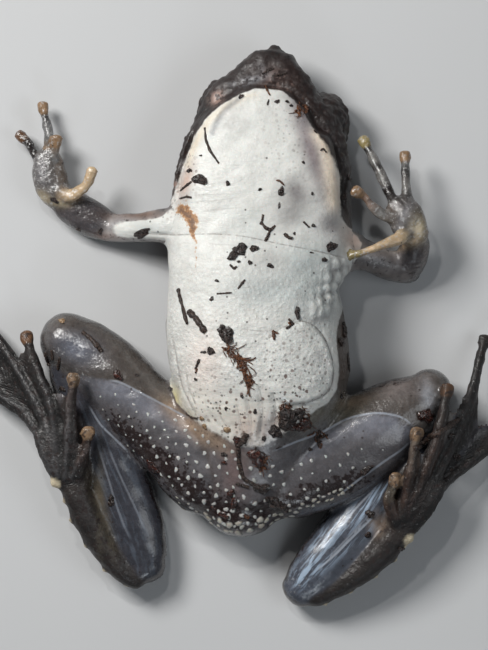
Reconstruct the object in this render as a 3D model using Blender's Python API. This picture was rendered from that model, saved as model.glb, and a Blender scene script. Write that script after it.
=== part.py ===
# A small white-bellied frog lying on its back, at life size: belly up (+Z), snout toward +Y.
# Seen from above, the animal's right side is at -X. Every section list is in millimetres.
import math
import random

import bmesh
import bpy
from mathutils import Euler, Matrix, Vector

MM = 0.001
GAP = 0.3            # space between neighbouring nodes
FLOOR_DIP = 0.12     # how far a resting form goes under the floor before its flat is cut
SHIFT = Vector((0.45, -0.35, 0.0))   # brings the middle of the whole box over the origin

EYE_RADIUS = 2.05
LID_THICKNESS = 0.4
EYE_PLACES = {-1: (-1.5, 20.0, 2.45), 1: (7.1, 18.8, 2.45)}   # -1 is the animal's right side, 1 its left
EYE_OPENING = 1.7    # half-height of the gap between the lids
NOSTRIL_RADIUS = 0.26
TYMPANUM_RADIUS = 1.15
FINGER_RADIUS = 0.42
TOE_RADIUS = 0.5
DISC_SPREAD = 1.32   # width of a toe's or finger's disc over its own width
WEB_THICKNESS = 0.5
WEB_REACH = (0.45, 0.75, 0.85, 0.85)   # how far each web runs along its toes
WEB_SAG = 0.3        # how deep a web's free edge dips between the toes, as a share of its reach
LIP_RADIUS = 0.38
TUBERCLE_RADIUS = 0.34
HEEL_RADII = (0.55, 0.55, 0.5)
TUBERCLE_SEED = 7

# x, y, z of the section's middle, half-width, height toward the belly, depth toward the back
TORSO = [
    (1.85, 12.2, 4.4, 6.7, 3.2, 3.9),
    (1.65, 10.4, 4.5, 7.8, 4.2, 4.4),
    (1.40, 7.7, 4.6, 8.3, 5.3, 4.6 + FLOOR_DIP),
    (1.00, 4.2, 4.7, 7.7, 6.1, 4.7 + FLOOR_DIP),
    (1.10, 0.6, 4.8, 8.05, 6.7, 4.8 + FLOOR_DIP),
    (1.50, -3.2, 4.7, 8.1, 6.8, 4.7 + FLOOR_DIP),
    (1.30, -5.9, 4.5, 7.6, 6.3, 4.5 + FLOOR_DIP),
    (1.10, -8.3, 4.3, 6.4, 5.4, 4.3),
    (0.80, -10.8, 4.1, 5.3, 4.4, 4.0),
    (0.30, -13.0, 3.9, 5.0, 3.7, 3.7),
    (-0.1, -14.8, 3.8, 4.5, 3.2, 3.3),
    (-0.3, -16.0, 3.7, 3.4, 2.5, 2.6),
]
TORSO_SHAPE = (2.25, 2.7)

SKULL = [
    (1.55, 9.4, 4.2, 8.1, 2.1, 3.7),
    (1.75, 12.0, 4.2, 8.1, 2.1, 3.6),
    (1.98, 14.1, 4.1, 7.75, 2.1, 3.4),
    (2.12, 16.3, 4.0, 7.25, 2.1, 3.2),
    (2.15, 18.5, 4.0, 6.6, 2.0, 3.0),
    (2.20, 20.6, 4.0, 5.6, 1.9, 2.9),
    (2.45, 22.3, 3.9, 4.1, 1.8, 2.6),
    (2.60, 23.6, 3.8, 2.9, 1.6, 2.3),
    (2.70, 24.3, 3.7, 2.1, 1.45, 1.9),
]
SKULL_SHAPE = (3.0, 2.2)
SKULL_CAPS = (0.6, 0.6)
SNOUT_TIP = (2.85, 24.85, 3.6)

JAW = [
    (2.00, 21.5, 5.9, 2.5, 0.9, 1.2),
    (1.85, 20.0, 6.0, 4.1, 1.2, 1.5),
    (1.60, 18.0, 6.1, 5.65, 1.6, 1.6),
    (1.65, 16.2, 6.2, 6.5, 2.0, 1.7),
    (1.62, 14.2, 6.3, 7.0, 2.4, 1.8),
    (1.50, 12.0, 6.3, 7.25, 2.8, 1.9),
    (1.40, 9.0, 6.3, 7.2, 3.0, 1.9),
]
JAW_SHAPE = (2.3, 2.6)

# x, y, z along the rolled edge of the upper lip, from the right corner of the mouth to the left one
UPPER_LIP = [
    (-6.0, 12.2, 4.95),
    (-5.62, 14.2, 5.1),
    (-5.1, 16.2, 5.2),
    (-4.3, 18.0, 5.35),
    (-2.55, 20.0, 5.45),
    (-0.8, 21.6, 5.5),
    (2.1, 22.75, 5.35),
    (4.75, 21.6, 5.5),
    (6.2, 20.0, 5.45),
    (7.5, 18.0, 5.35),
    (8.4, 16.2, 5.2),
    (8.87, 14.2, 5.1),
    (9.0, 12.2, 4.95),
]

# x, y, z, half-width, half-thickness
ARM_RIGHT = {
    "upper_arm": [
        (-4.6, 9.5, 5.2, 1.9, 1.6),
        (-6.8, 9.5, 4.8, 1.6, 1.5),
        (-9.3, 9.3, 3.2, 1.35, 1.3),
        (-11.6, 9.3, 1.7, 1.35, 1.35),
    ],
    "forearm": [
        (-12.2, 9.4, 1.45, 1.4, 1.35),
        (-13.6, 10.1, 1.4, 1.65, 1.5),
        (-15.1, 11.0, 1.5, 1.6, 1.4),
        (-16.1, 11.6, 1.6, 1.4, 1.15),
    ],
    "palm": [
        (-16.5, 11.9, 2.0, 1.35, 1.0),
        (-17.3, 13.4, 2.1, 1.6, 0.95),
        (-17.6, 15.0, 2.1, 1.45, 0.8),
        (-17.7, 15.9, 2.1, 1.1, 0.65),
    ],
    "fingers": [
        [(-16.8, 13.0, 2.5), (-15.6, 12.2, 3.3), (-14.3, 12.7, 3.8), (-13.65, 14.2, 4.1)],
        [(-17.2, 14.6, 2.2), (-16.95, 15.9, 2.5), (-16.8, 17.2, 2.9)],
        [(-17.8, 15.2, 2.0), (-17.5, 17.4, 2.2), (-18.05, 20.2, 1.7)],
        [(-18.2, 14.8, 2.0), (-19.1, 16.8, 1.8), (-20.1, 17.6, 1.4)],
    ],
}
ARM_LEFT = {
    "upper_arm": [
        (7.2, 7.6, 4.6, 2.2, 1.8),
        (9.3, 7.2, 4.2, 1.9, 1.5),
        (11.3, 6.7, 3.4, 1.45, 1.35),
        (13.2, 5.9, 2.2, 1.35, 1.35),
        (14.3, 5.6, 1.6, 1.3, 1.3),
    ],
    "forearm": [
        (14.8, 5.6, 1.4, 1.35, 1.35),
        (15.2, 6.6, 2.2, 1.45, 1.4),
        (15.5, 7.6, 3.2, 1.35, 1.25),
        (15.6, 8.4, 3.9, 1.15, 1.0),
    ],
    "palm": [
        (15.6, 8.6, 4.3, 1.3, 1.0),
        (14.9, 9.7, 4.8, 1.65, 0.9),
        (14.4, 10.8, 4.9, 1.6, 0.8),
        (14.2, 11.5, 4.8, 1.3, 0.65),
    ],
    "fingers": [
        [(15.1, 9.0, 4.9), (13.6, 8.1, 5.9), (11.7, 7.35, 6.3), (10.05, 6.9, 6.4)],
        [(13.9, 9.7, 5.0), (12.1, 10.8, 5.7), (11.1, 11.9, 6.2), (10.2, 12.5, 6.7)],
        [(13.9, 10.9, 4.9), (13.0, 12.8, 4.7), (11.9, 15.2, 4.1), (10.9, 17.1, 3.4)],
        [(14.8, 10.9, 4.8), (14.7, 12.9, 4.4), (14.6, 15.8, 3.3)],
    ],
}

LEG_RIGHT = {
    "thigh": [
        (-1.8, -13.6, 3.9, 3.3, 2.5),
        (-3.1, -12.8, 3.95, 4.0, 3.0),
        (-5.4, -10.4, 3.9, 3.9, 3.1),
        (-8.1, -7.9, 3.75, 3.45, 3.05),
        (-10.05, -5.8, 3.6, 3.25, 3.0),
        (-11.8, -3.9, 3.4, 3.2, 2.9),
        (-14.0, -2.1, 3.15, 3.0, 2.7),
        (-15.9, -0.8, 3.0, 2.5, 2.4),
    ],
    "shank": [
        (-15.5, -3.0, 2.4, 2.2, 1.9),
        (-13.6, -7.6, 2.3, 2.7, 2.2),
        (-11.8, -12.3, 2.2, 2.8, 2.2 + FLOOR_DIP),
        (-10.1, -16.6, 2.1, 2.7, 2.1 + FLOOR_DIP),
        (-9.3, -19.2, 2.0, 2.4, 1.9),
        (-8.85, -21.2, 1.8, 1.9, 1.6),
    ],
    "tarsus": [
        (-9.7, -22.5, 2.1, 0.85, 1.0),
        (-11.2, -21.3, 2.5, 1.05, 1.15),
        (-12.7, -19.3, 2.9, 1.2, 1.25),
        (-13.9, -17.2, 3.4, 1.3, 1.2),
        (-14.8, -15.2, 3.8, 1.25, 1.1),
        (-15.1, -14.4, 3.9, 1.2, 1.05),
    ],
    "sole": [
        (-15.1, -14.1, 3.9, 1.35, 0.95),
        (-15.6, -12.5, 4.3, 1.9, 0.85),
        (-16.4, -10.3, 4.5, 2.2, 0.75),
        (-17.0, -8.6, 4.4, 2.1, 0.6),
    ],
    "toes": [
        [(-14.8, -12.8, 4.9), (-14.2, -10.7, 5.6), (-13.9, -9.1, 5.9)],
        [(-15.3, -12.0, 4.8), (-15.5, -8.0, 5.9), (-15.25, -4.3, 6.7)],
        [(-16.0, -11.2, 4.7), (-17.3, -6.8, 4.8), (-18.7, -3.2, 4.1), (-19.5, -0.6, 3.1)],
        [(-16.5, -11.0, 4.5), (-18.9, -6.0, 3.8), (-21.5, -1.6, 2.2), (-25.2, 2.7, 1.05)],
        [(-16.6, -12.0, 4.3), (-19.4, -7.8, 3.0), (-22.3, -5.7, 1.8), (-26.1, -2.8, 1.05)],
    ],
    "heel_tubercle": (-16.9, -13.6, 4.2),
}
LEG_LEFT = {
    "thigh": [
        (1.9, -14.0, 3.9, 3.3, 2.5),
        (3.5, -13.2, 3.95, 4.0, 3.0),
        (6.1, -12.2, 3.9, 4.2, 3.15),
        (8.8, -11.0, 3.75, 4.2, 3.1),
        (12.0, -9.0, 3.5, 3.95, 3.0),
        (13.9, -7.6, 3.3, 3.45, 2.8),
        (15.6, -6.45, 3.1, 2.75, 2.6),
        (16.8, -5.4, 3.0, 2.0, 2.2),
    ],
    "shank": [
        (16.2, -7.4, 2.4, 2.2, 1.9),
        (14.9, -10.0, 2.3, 2.6, 2.2),
        (12.9, -13.2, 2.2, 2.75, 2.2 + FLOOR_DIP),
        (10.9, -16.4, 2.2, 2.8, 2.2 + FLOOR_DIP),
        (9.0, -19.0, 2.1, 2.75, 2.1 + FLOOR_DIP),
        (7.4, -20.9, 2.1, 2.6, 2.0),
        (6.0, -22.4, 1.9, 2.25, 1.8),
        (5.2, -23.3, 1.8, 1.75, 1.5),
    ],
    "tarsus": [
        (6.6, -24.1, 2.1, 0.85, 1.0),
        (8.6, -23.0, 2.5, 1.0, 1.15),
        (10.6, -21.6, 2.9, 1.2, 1.25),
        (12.3, -20.1, 3.4, 1.3, 1.2),
        (13.4, -18.9, 3.8, 1.25, 1.1),
        (13.8, -18.3, 3.9, 1.2, 1.05),
    ],
    "sole": [
        (14.0, -18.0, 4.0, 1.35, 0.95),
        (14.8, -16.4, 4.3, 1.9, 0.85),
        (15.7, -14.6, 4.5, 2.2, 0.75),
        (16.5, -13.0, 4.4, 2.1, 0.6),
    ],
    "toes": [
        [(13.8, -17.2, 4.9), (13.1, -15.3, 5.6), (13.7, -13.3, 5.9)],
        [(14.4, -16.8, 4.8), (15.0, -13.0, 5.9), (15.6, -9.2, 6.6)],
        [(14.9, -16.6, 4.7), (16.5, -12.5, 5.3), (17.7, -8.7, 5.6), (18.4, -5.3, 5.3)],
        [(15.2, -16.6, 4.5), (17.8, -12.3, 4.3), (20.2, -7.0, 3.2), (21.8, -0.9, 1.6)],
        [(15.3, -17.2, 4.3), (18.0, -13.8, 3.4), (22.0, -10.6, 2.0), (25.2, -7.6, 1.05)],
    ],
    "heel_tubercle": (14.9, -18.7, 4.2),
}

FLESH = (0.62, 0.6, 0.58)
DARK = (0.16, 0.13, 0.11)
EYE = (0.03, 0.025, 0.02)


def clear_scene():
    for obj in list(bpy.data.objects):
        bpy.data.objects.remove(obj, do_unlink=True)


def new_collection(name, helper=False):
    found = bpy.data.collections.new(name)
    bpy.context.scene.collection.children.link(found)
    found.hide_render = helper
    return found


def principled(name, colour, roughness):
    made = bpy.data.materials.new(name)
    made.use_nodes = True
    shader = made.node_tree.nodes["Principled BSDF"]
    shader.inputs["Base Color"].default_value = (*colour, 1.0)
    shader.inputs["Roughness"].default_value = roughness
    return made


def add_object(name, work, collection):
    """An object from a bmesh in millimetres, moved by SHIFT and turned into metres."""
    bmesh.ops.recalc_face_normals(work, faces=work.faces)
    for vert in work.verts:
        vert.co = (vert.co + SHIFT) * MM
    mesh = bpy.data.meshes.new(name)
    work.to_mesh(mesh)
    work.free()
    obj = bpy.data.objects.new(name, mesh)
    collection.objects.link(obj)
    if collection.hide_render:
        obj.display_type = "WIRE"
    return obj


def catmull(before, start, end, after, t):
    return tuple(
        0.5 * (2 * b + (c - a) * t + (2 * a - 5 * b + 4 * c - d) * t * t + (3 * b - a - 3 * c + d) * t ** 3)
        for a, b, c, d in zip(before, start, end, after)
    )


def smooth_rows(rows, steps):
    """The rows of numbers joined by a smooth curve that passes through each, with steps points a span."""
    found = []
    for i in range(len(rows) - 1):
        before = rows[max(i - 1, 0)]
        after = rows[min(i + 2, len(rows) - 1)]
        for k in range(steps):
            found.append(catmull(before, rows[i], rows[i + 1], after, k / steps))
    found.append(tuple(rows[-1]))
    return found


def loft(name, stations, collection, sides=16, steps=2, shape=(2.0, 2.0), grow=0.0, caps=(1.0, 1.0)):
    """A closed body through oval sections that stand square to the path, with domed ends.
    A section bulges more like a box as its exponent in shape (belly side, back side) rises above 2."""
    rows = smooth_rows([s if len(s) == 6 else (*s, s[4]) for s in stations], steps)
    middles = [Vector(r[:3]) for r in rows]
    work = bmesh.new()

    def ring(middle, along, half, up, down, scale):
        side = along.cross(Vector((0, 0, 1))).normalized()
        rise = side.cross(along).normalized()
        made = []
        for k in range(sides):
            angle = 2 * math.pi * k / sides
            c, s = math.cos(angle), math.sin(angle)
            power = 2.0 / (shape[0] if s >= 0 else shape[1])
            across = half * scale * math.copysign(abs(c) ** power, c)
            height = (up if s >= 0 else down) * scale * math.copysign(abs(s) ** power, s)
            made.append(work.verts.new(middle + side * across + rise * height))
        return made

    rings = []
    for i, row in enumerate(rows):
        along = (middles[min(i + 1, len(rows) - 1)] - middles[max(i - 1, 0)]).normalized()
        half, up, down = row[3] + grow, row[4] + grow, row[5] + grow
        rings.append((middles[i], along, half, up, down))
    body = []
    for end, sign, cap in ((0, -1, caps[0]), (-1, 1, caps[1])):
        middle, along, half, up, down = rings[end]
        reach = cap * min(half, (up + down) / 2)
        dome = []
        for k in (1, 2):
            turn = math.pi / 2 * k / 3
            spot = middle + along * sign * reach * math.sin(turn)
            dome.append((spot, along, half, up, down, math.cos(turn)))
        tip = work.verts.new(middle + along * sign * reach)
        body.append((dome, tip))
    order = list(reversed(body[0][0])) + [(*r, 1.0) for r in rings] + body[1][0]
    made = [ring(*one) for one in order]
    for first, second in zip(made, made[1:]):
        for k in range(sides):
            work.faces.new((first[k], first[(k + 1) % sides], second[(k + 1) % sides], second[k]))
    for k in range(sides):
        work.faces.new((made[0][(k + 1) % sides], made[0][k], body[0][1]))
        work.faces.new((made[-1][k], made[-1][(k + 1) % sides], body[1][1]))
    return add_object(name, work, collection)


def blob(name, middle, radii, collection, turn=(0, 0, 0), rings=8, segments=12):
    """A ball stretched to three radii and turned."""
    work = bmesh.new()
    bmesh.ops.create_uvsphere(work, u_segments=segments, v_segments=rings, radius=1.0)
    matrix = Matrix.Translation(middle) @ Euler([math.radians(a) for a in turn]).to_matrix().to_4x4()
    matrix = matrix @ Matrix.Diagonal((*radii, 1.0))
    bmesh.ops.transform(work, matrix=matrix, verts=work.verts)
    return add_object(name, work, collection)


def box(name, low, high, collection):
    work = bmesh.new()
    bmesh.ops.create_cube(work, size=1.0)
    for vert in work.verts:
        vert.co = Vector([low[i] + (high[i] - low[i]) * (vert.co[i] + 0.5) for i in range(3)])
    return add_object(name, work, collection)


def digit(name, points, radius, collection, grow=0.0):
    """A finger or toe: it narrows from its root, swells at each joint and ends in a flat disc."""
    last = Vector(points[-1])
    ahead = (last - Vector(points[-2])).normalized()
    neck = last - ahead * radius * 2.0
    stations = [(*points[0], radius * 1.2, radius * 1.2)]
    for point in points[1:-1]:
        if (Vector(point) - neck).length > 0.9:
            stations.append((*point, radius, radius))
    stations.append((*neck, radius * 0.85, radius * 0.85))
    stations.append((*(last - ahead * radius * 0.6), radius * DISC_SPREAD, radius * 0.95))
    stations.append((*(last + ahead * radius * 0.5), radius * DISC_SPREAD, radius * 0.85))
    return loft(name, stations, collection, sides=8, steps=2, grow=grow, caps=(0.8, 0.8))


def web(name, first, second, reach, collection):
    """A thin skin between two toes; its free edge dips in between them."""
    a = smooth_rows(first, 6)
    b = smooth_rows(second, 6)
    rows, columns = 6, 4
    work = bmesh.new()
    grid = []
    for i in range(rows + 1):
        line = []
        for j in range(columns + 1):
            across = j / columns
            sag = 1.0 - WEB_SAG * math.sin(math.pi * across)
            spot = reach * sag * i / rows
            ia, ib = spot * (len(a) - 1), spot * (len(b) - 1)
            pa = Vector(a[int(ia)]).lerp(Vector(a[min(int(ia) + 1, len(a) - 1)]), ia % 1)
            pb = Vector(b[int(ib)]).lerp(Vector(b[min(int(ib) + 1, len(b) - 1)]), ib % 1)
            line.append(pa.lerp(pb, across))
        grid.append(line)
    half = Vector((0, 0, WEB_THICKNESS / 2))
    top = [[work.verts.new(p + half) for p in line] for line in grid]
    low = [[work.verts.new(p - half) for p in line] for line in grid]
    for i in range(rows):
        for j in range(columns):
            work.faces.new((top[i][j], top[i][j + 1], top[i + 1][j + 1], top[i + 1][j]))
            work.faces.new((low[i][j], low[i + 1][j], low[i + 1][j + 1], low[i][j + 1]))
    for j in range(columns):
        work.faces.new((top[0][j + 1], top[0][j], low[0][j], low[0][j + 1]))
        work.faces.new((top[rows][j], top[rows][j + 1], low[rows][j + 1], low[rows][j]))
    for i in range(rows):
        work.faces.new((top[i][0], top[i + 1][0], low[i + 1][0], low[i][0]))
        work.faces.new((top[i + 1][columns], top[i][columns], low[i][columns], low[i + 1][columns]))
    return add_object(name, work, collection)


def apply_boolean(obj, helpers, operation):
    """One Boolean of obj with every helper object, applied; the helpers are then removed."""
    pieces = bpy.data.collections.new(obj.name + "_pieces")
    for helper in helpers:
        pieces.objects.link(helper)
    modifier = obj.modifiers.new("Shape", "BOOLEAN")
    modifier.operation = operation
    modifier.solver = "EXACT"
    modifier.operand_type = "COLLECTION"
    modifier.collection = pieces
    graph = bpy.context.evaluated_depsgraph_get()
    mesh = bpy.data.meshes.new_from_object(obj.evaluated_get(graph))
    obj.modifiers.clear()
    obj.data = mesh
    for helper in helpers:
        bpy.data.objects.remove(helper, do_unlink=True)
    bpy.data.collections.remove(pieces)


def keep_largest(obj):
    """Leaves only the surface with the greatest box."""
    work = bmesh.new()
    work.from_mesh(obj.data)
    left = set(work.verts)
    groups = []
    while left:
        stack = [left.pop()]
        group = [stack[0]]
        while stack:
            for edge in stack.pop().link_edges:
                for vert in edge.verts:
                    if vert in left:
                        left.remove(vert)
                        group.append(vert)
                        stack.append(vert)
        groups.append(group)

    def extent(group):
        return sum(max(v.co[i] for v in group) - min(v.co[i] for v in group) for i in range(3))

    groups.sort(key=extent, reverse=True)
    spare = [vert for group in groups[1:] for vert in group]
    bmesh.ops.delete(work, geom=spare, context="VERTS")
    work.to_mesh(obj.data)
    work.free()


def finish_node(obj, name, pieces, cutters, colour, roughness, helpers):
    """Joins the pieces to obj, cuts it with the cutters and the floor, and gives it its name and material."""
    if pieces:
        apply_boolean(obj, pieces, "UNION")
    floor = box("floor_cut", (-40, -40, -6), (40, 40, 0), helpers)
    apply_boolean(obj, [*cutters, floor], "DIFFERENCE")
    keep_largest(obj)
    obj.name = name
    obj.data.name = name
    obj.data.materials.clear()
    obj.data.materials.append(principled(name + "_skin", colour, roughness))
    for polygon in obj.data.polygons:
        polygon.use_smooth = True


def grown_torso(helpers):
    return loft("torso_grown", TORSO, helpers, 26, 2, TORSO_SHAPE, GAP)


def grown_skull(helpers):
    return loft("skull_grown", SKULL, helpers, 22, 2, SKULL_SHAPE, GAP, SKULL_CAPS)


def upper_lip(helpers, grow=0.0):
    stations = [(*point, LIP_RADIUS, LIP_RADIUS) for point in UPPER_LIP]
    return loft("upper_lip", stations, helpers, sides=8, steps=2, grow=grow)


def build_eye(name, place, nodes, helpers):
    ball = blob(name, place, (EYE_RADIUS,) * 3, nodes, (0, 90, 0), rings=10, segments=16)
    finish_node(ball, name, [], [], EYE, 0.15, helpers)


def build_head(nodes, helpers):
    skull = loft("head", SKULL, nodes, sides=22, steps=2, shape=SKULL_SHAPE, caps=SKULL_CAPS)
    pieces = [blob("snout_tip", SNOUT_TIP, (0.75, 0.8, 0.7), helpers), upper_lip(helpers)]
    cutters = [grown_torso(helpers)]
    socket = EYE_RADIUS + GAP
    lid = socket + LID_THICKNESS
    for sign, place in EYE_PLACES.items():
        middle = Vector(place)
        pieces.append(blob("lid", middle, (lid,) * 3, helpers, (0, 90, 0), rings=8, segments=14))
        cutters.append(blob("socket", middle, (socket,) * 3, helpers, (0, 90, 0), rings=8, segments=14))
        look = Vector((sign * 2.6, 0.6 - 0.25 * sign, -0.1))
        cutters.append(blob("lid_gap", middle + look, (2.1, 2.15, EYE_OPENING), helpers, (0, 0, sign * 18)))
        nostril = Vector((2.65 + sign * 1.3, 24.0, 2.7))
        pieces.append(blob("nostril_rim", nostril, (0.42, 0.42, 0.42), helpers))
        opening = nostril + Vector((sign * 0.35, 0.2, -0.25))
        cutters.append(blob("nostril", opening, (NOSTRIL_RADIUS,) * 3, helpers))
        edge = Vector((2.0 + sign * 7.2, 14.6, 3.2))
        flat = (0.42, TYMPANUM_RADIUS, TYMPANUM_RADIUS)
        pieces.append(blob("tympanum", edge, flat, helpers, (0, sign * 22, sign * 8)))
        fold = [
            (2.1 + sign * 5.6, 17.0, 1.9, 0.45, 0.4),
            (2.0 + sign * 6.4, 15.4, 1.9, 0.5, 0.45),
            (1.9 + sign * 7.2, 13.6, 2.6, 0.5, 0.45),
            (1.8 + sign * 7.5, 12.2, 3.6, 0.4, 0.4),
        ]
        pieces.append(loft("fold", fold, helpers, sides=8, steps=2))
    finish_node(skull, "head", pieces, cutters, DARK, 0.5, helpers)


def build_jaw(nodes, helpers):
    jaw = loft("lower_jaw", JAW, nodes, sides=26, steps=2, shape=JAW_SHAPE, caps=(0.4, 0.6))
    cutters = [grown_torso(helpers), grown_skull(helpers), upper_lip(helpers, grow=GAP)]
    finish_node(jaw, "lower_jaw", [], cutters, FLESH, 0.45, helpers)


def build_arm(side, arm, nodes, helpers):
    upper = loft("upper_arm", arm["upper_arm"], nodes, sides=14, steps=2)
    finish_node(upper, "upper_arm_" + side, [], [grown_torso(helpers)], FLESH, 0.45, helpers)
    fore = loft("forearm", arm["forearm"], nodes, sides=14, steps=2)
    cutters = [loft("upper_grown", arm["upper_arm"], helpers, sides=14, steps=2, grow=GAP)]
    finish_node(fore, "forearm_" + side, [], cutters, FLESH, 0.4, helpers)
    palm = loft("palm", arm["palm"], nodes, sides=12, steps=2)
    pieces = []
    for k, points in enumerate(arm["fingers"]):
        pieces.append(digit("finger_%d" % (k + 1), points, FINGER_RADIUS, helpers))
    cutters = [
        loft("fore_grown", arm["forearm"], helpers, sides=14, steps=2, grow=GAP),
        loft("upper_grown", arm["upper_arm"], helpers, sides=14, steps=2, grow=GAP),
        grown_torso(helpers),
        grown_skull(helpers),
    ]
    finish_node(palm, "hand_" + side, pieces, cutters, FLESH, 0.4, helpers)


def build_leg(side, leg, nodes, helpers):
    outward = -1 if side == "right" else 1
    thigh = loft("thigh", leg["thigh"], nodes, sides=18, steps=2)
    finish_node(thigh, "thigh_" + side, [], [grown_torso(helpers)], FLESH, 0.4, helpers)

    def grown(part, sides, steps):
        return loft(part + "_grown", leg[part], helpers, sides=sides, steps=steps, grow=GAP)

    shank = loft("shank", leg["shank"], nodes, sides=16, steps=2)
    finish_node(shank, "shank_" + side, [], [grown("thigh", 18, 2)], FLESH, 0.35, helpers)
    tarsus = loft("tarsus", leg["tarsus"], nodes, sides=14, steps=2)
    pieces = []
    chance = random.Random(TUBERCLE_SEED)
    rows = smooth_rows(leg["tarsus"], 3)
    for k in range(1, len(rows) - 1, 3):
        before, here, after = (Vector(rows[i][:3]) for i in (k - 1, k, k + 1))
        along = (after - before).normalized()
        edge = along.cross(Vector((0, 0, 1))).normalized() * outward
        spot = here + edge * rows[k][3]
        size = TUBERCLE_RADIUS * chance.uniform(0.85, 1.15)
        pieces.append(blob("tubercle", spot, (size,) * 3, helpers, rings=4, segments=6))
    cutters = [grown("shank", 16, 2), grown("thigh", 18, 2)]
    finish_node(tarsus, "tarsus_" + side, pieces, cutters, DARK, 0.4, helpers)

    sole = loft("sole", leg["sole"], nodes, sides=12, steps=2)
    pieces = [digit("toe_%d" % (k + 1), points, TOE_RADIUS, helpers) for k, points in enumerate(leg["toes"])]
    for k, (first, second) in enumerate(zip(leg["toes"], leg["toes"][1:])):
        pieces.append(web("web_%d" % k, first, second, WEB_REACH[k], helpers))
    pieces.append(blob("heel_tubercle", leg["heel_tubercle"], HEEL_RADII, helpers, rings=6, segments=10))
    cutters = [grown("tarsus", 14, 2), grown("shank", 16, 2), grown("thigh", 18, 2)]
    finish_node(sole, "foot_" + side, pieces, cutters, DARK, 0.4, helpers)


def build_frog():
    clear_scene()
    nodes = new_collection("white_bellied_frog")
    helpers = new_collection("helpers", helper=True)
    torso = loft("torso", TORSO, nodes, sides=26, steps=2, shape=TORSO_SHAPE)
    finish_node(torso, "torso", [], [], FLESH, 0.45, helpers)
    build_head(nodes, helpers)
    build_jaw(nodes, helpers)
    build_eye("eye_right", EYE_PLACES[-1], nodes, helpers)
    build_eye("eye_left", EYE_PLACES[1], nodes, helpers)
    build_arm("right", ARM_RIGHT, nodes, helpers)
    build_arm("left", ARM_LEFT, nodes, helpers)
    build_leg("right", LEG_RIGHT, nodes, helpers)
    build_leg("left", LEG_LEFT, nodes, helpers)


build_frog()
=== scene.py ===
import math
import bpy
import numpy as np
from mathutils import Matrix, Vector
from mathutils.bvhtree import BVHTree


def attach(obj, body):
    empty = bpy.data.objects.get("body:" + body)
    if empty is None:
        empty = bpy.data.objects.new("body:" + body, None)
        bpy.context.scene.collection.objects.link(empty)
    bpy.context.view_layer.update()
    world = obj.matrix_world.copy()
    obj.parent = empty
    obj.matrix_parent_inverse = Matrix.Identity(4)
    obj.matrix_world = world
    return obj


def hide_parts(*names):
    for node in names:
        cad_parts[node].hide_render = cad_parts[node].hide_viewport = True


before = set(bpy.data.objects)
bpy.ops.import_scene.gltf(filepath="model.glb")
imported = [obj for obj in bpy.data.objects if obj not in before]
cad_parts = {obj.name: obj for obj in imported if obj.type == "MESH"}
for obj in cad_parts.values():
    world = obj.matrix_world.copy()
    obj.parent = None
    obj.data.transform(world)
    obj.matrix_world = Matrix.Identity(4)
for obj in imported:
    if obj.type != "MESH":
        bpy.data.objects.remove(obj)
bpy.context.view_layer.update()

# The frog lies on its back: belly up (+Z), snout toward +Y, its right side at -X.
# Forms are worked out in millimetres. Marks are placed in steps of 0.09 mm on a flat map seen from
# straight above: its x runs to the frog's left, its y from snout to feet.
mapStep = 0.09
mapMiddle = np.array([238.0, 327.11])
offset = np.array([0.45, -0.35, 0.0])     # from the stations' own origin to the middle of the whole frog
chance = np.random.default_rng(11)


def toMap(points):
    # map place = middle + (x, -y) / step
    return mapMiddle + points[:, :2] * np.array([1.0, -1.0]) / mapStep


def fromMap(places):
    # x and y in millimetres of places on the map
    return (np.asarray(places, float) - mapMiddle) * np.array([1.0, -1.0]) * mapStep


def fade(value, low, high):
    # 0 below low, 1 above high, and a smooth cubic step between
    t = np.clip((value - low) / (high - low), 0.0, 1.0)
    return t * t * (3.0 - 2.0 * t)


def hump(value, middle, width):
    # bell curve: 1 at the middle, falling with the square of the distance over the width
    return np.exp(-((value - middle) / width) ** 2)


def smoothPath(rows, spans):
    # Catmull-Rom curve: each point is a cubic mix of the four rows round it
    rows = np.asarray(rows, float)
    last = len(rows) - 1
    t = np.linspace(0, last, spans + 1)
    i = np.minimum(t.astype(int), last - 1)
    f = (t - i)[:, None]
    a, b = rows[np.maximum(i - 1, 0)], rows[i]
    c, d = rows[i + 1], rows[np.minimum(i + 2, last)]
    square, cube = 2 * a - 5 * b + 4 * c - d, 3 * b - a - 3 * c + d
    return 0.5 * (2 * b + (c - a) * f + square * f ** 2 + cube * f ** 3)


def ringFaces(rings, sides):
    # quads between neighbouring rings, and a fan of triangles to a pole at each end
    grid = np.arange(rings * sides).reshape(rings, sides)
    beside = np.roll(grid, -1, axis=1)
    quads = np.stack([grid[:-1], grid[1:], beside[1:], beside[:-1]], -1).reshape(-1, 4)
    start = np.stack([grid[0], beside[0], np.full(sides, rings * sides)], -1)
    end = np.stack([beside[-1], grid[-1], np.full(sides, rings * sides + 1)], -1)
    return quads.tolist() + start.tolist() + end.tolist()


def lastAxis(values):
    # vectors made one unit long
    return values / np.maximum(np.linalg.norm(values, axis=-1, keepdims=True), 1e-9)


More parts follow.
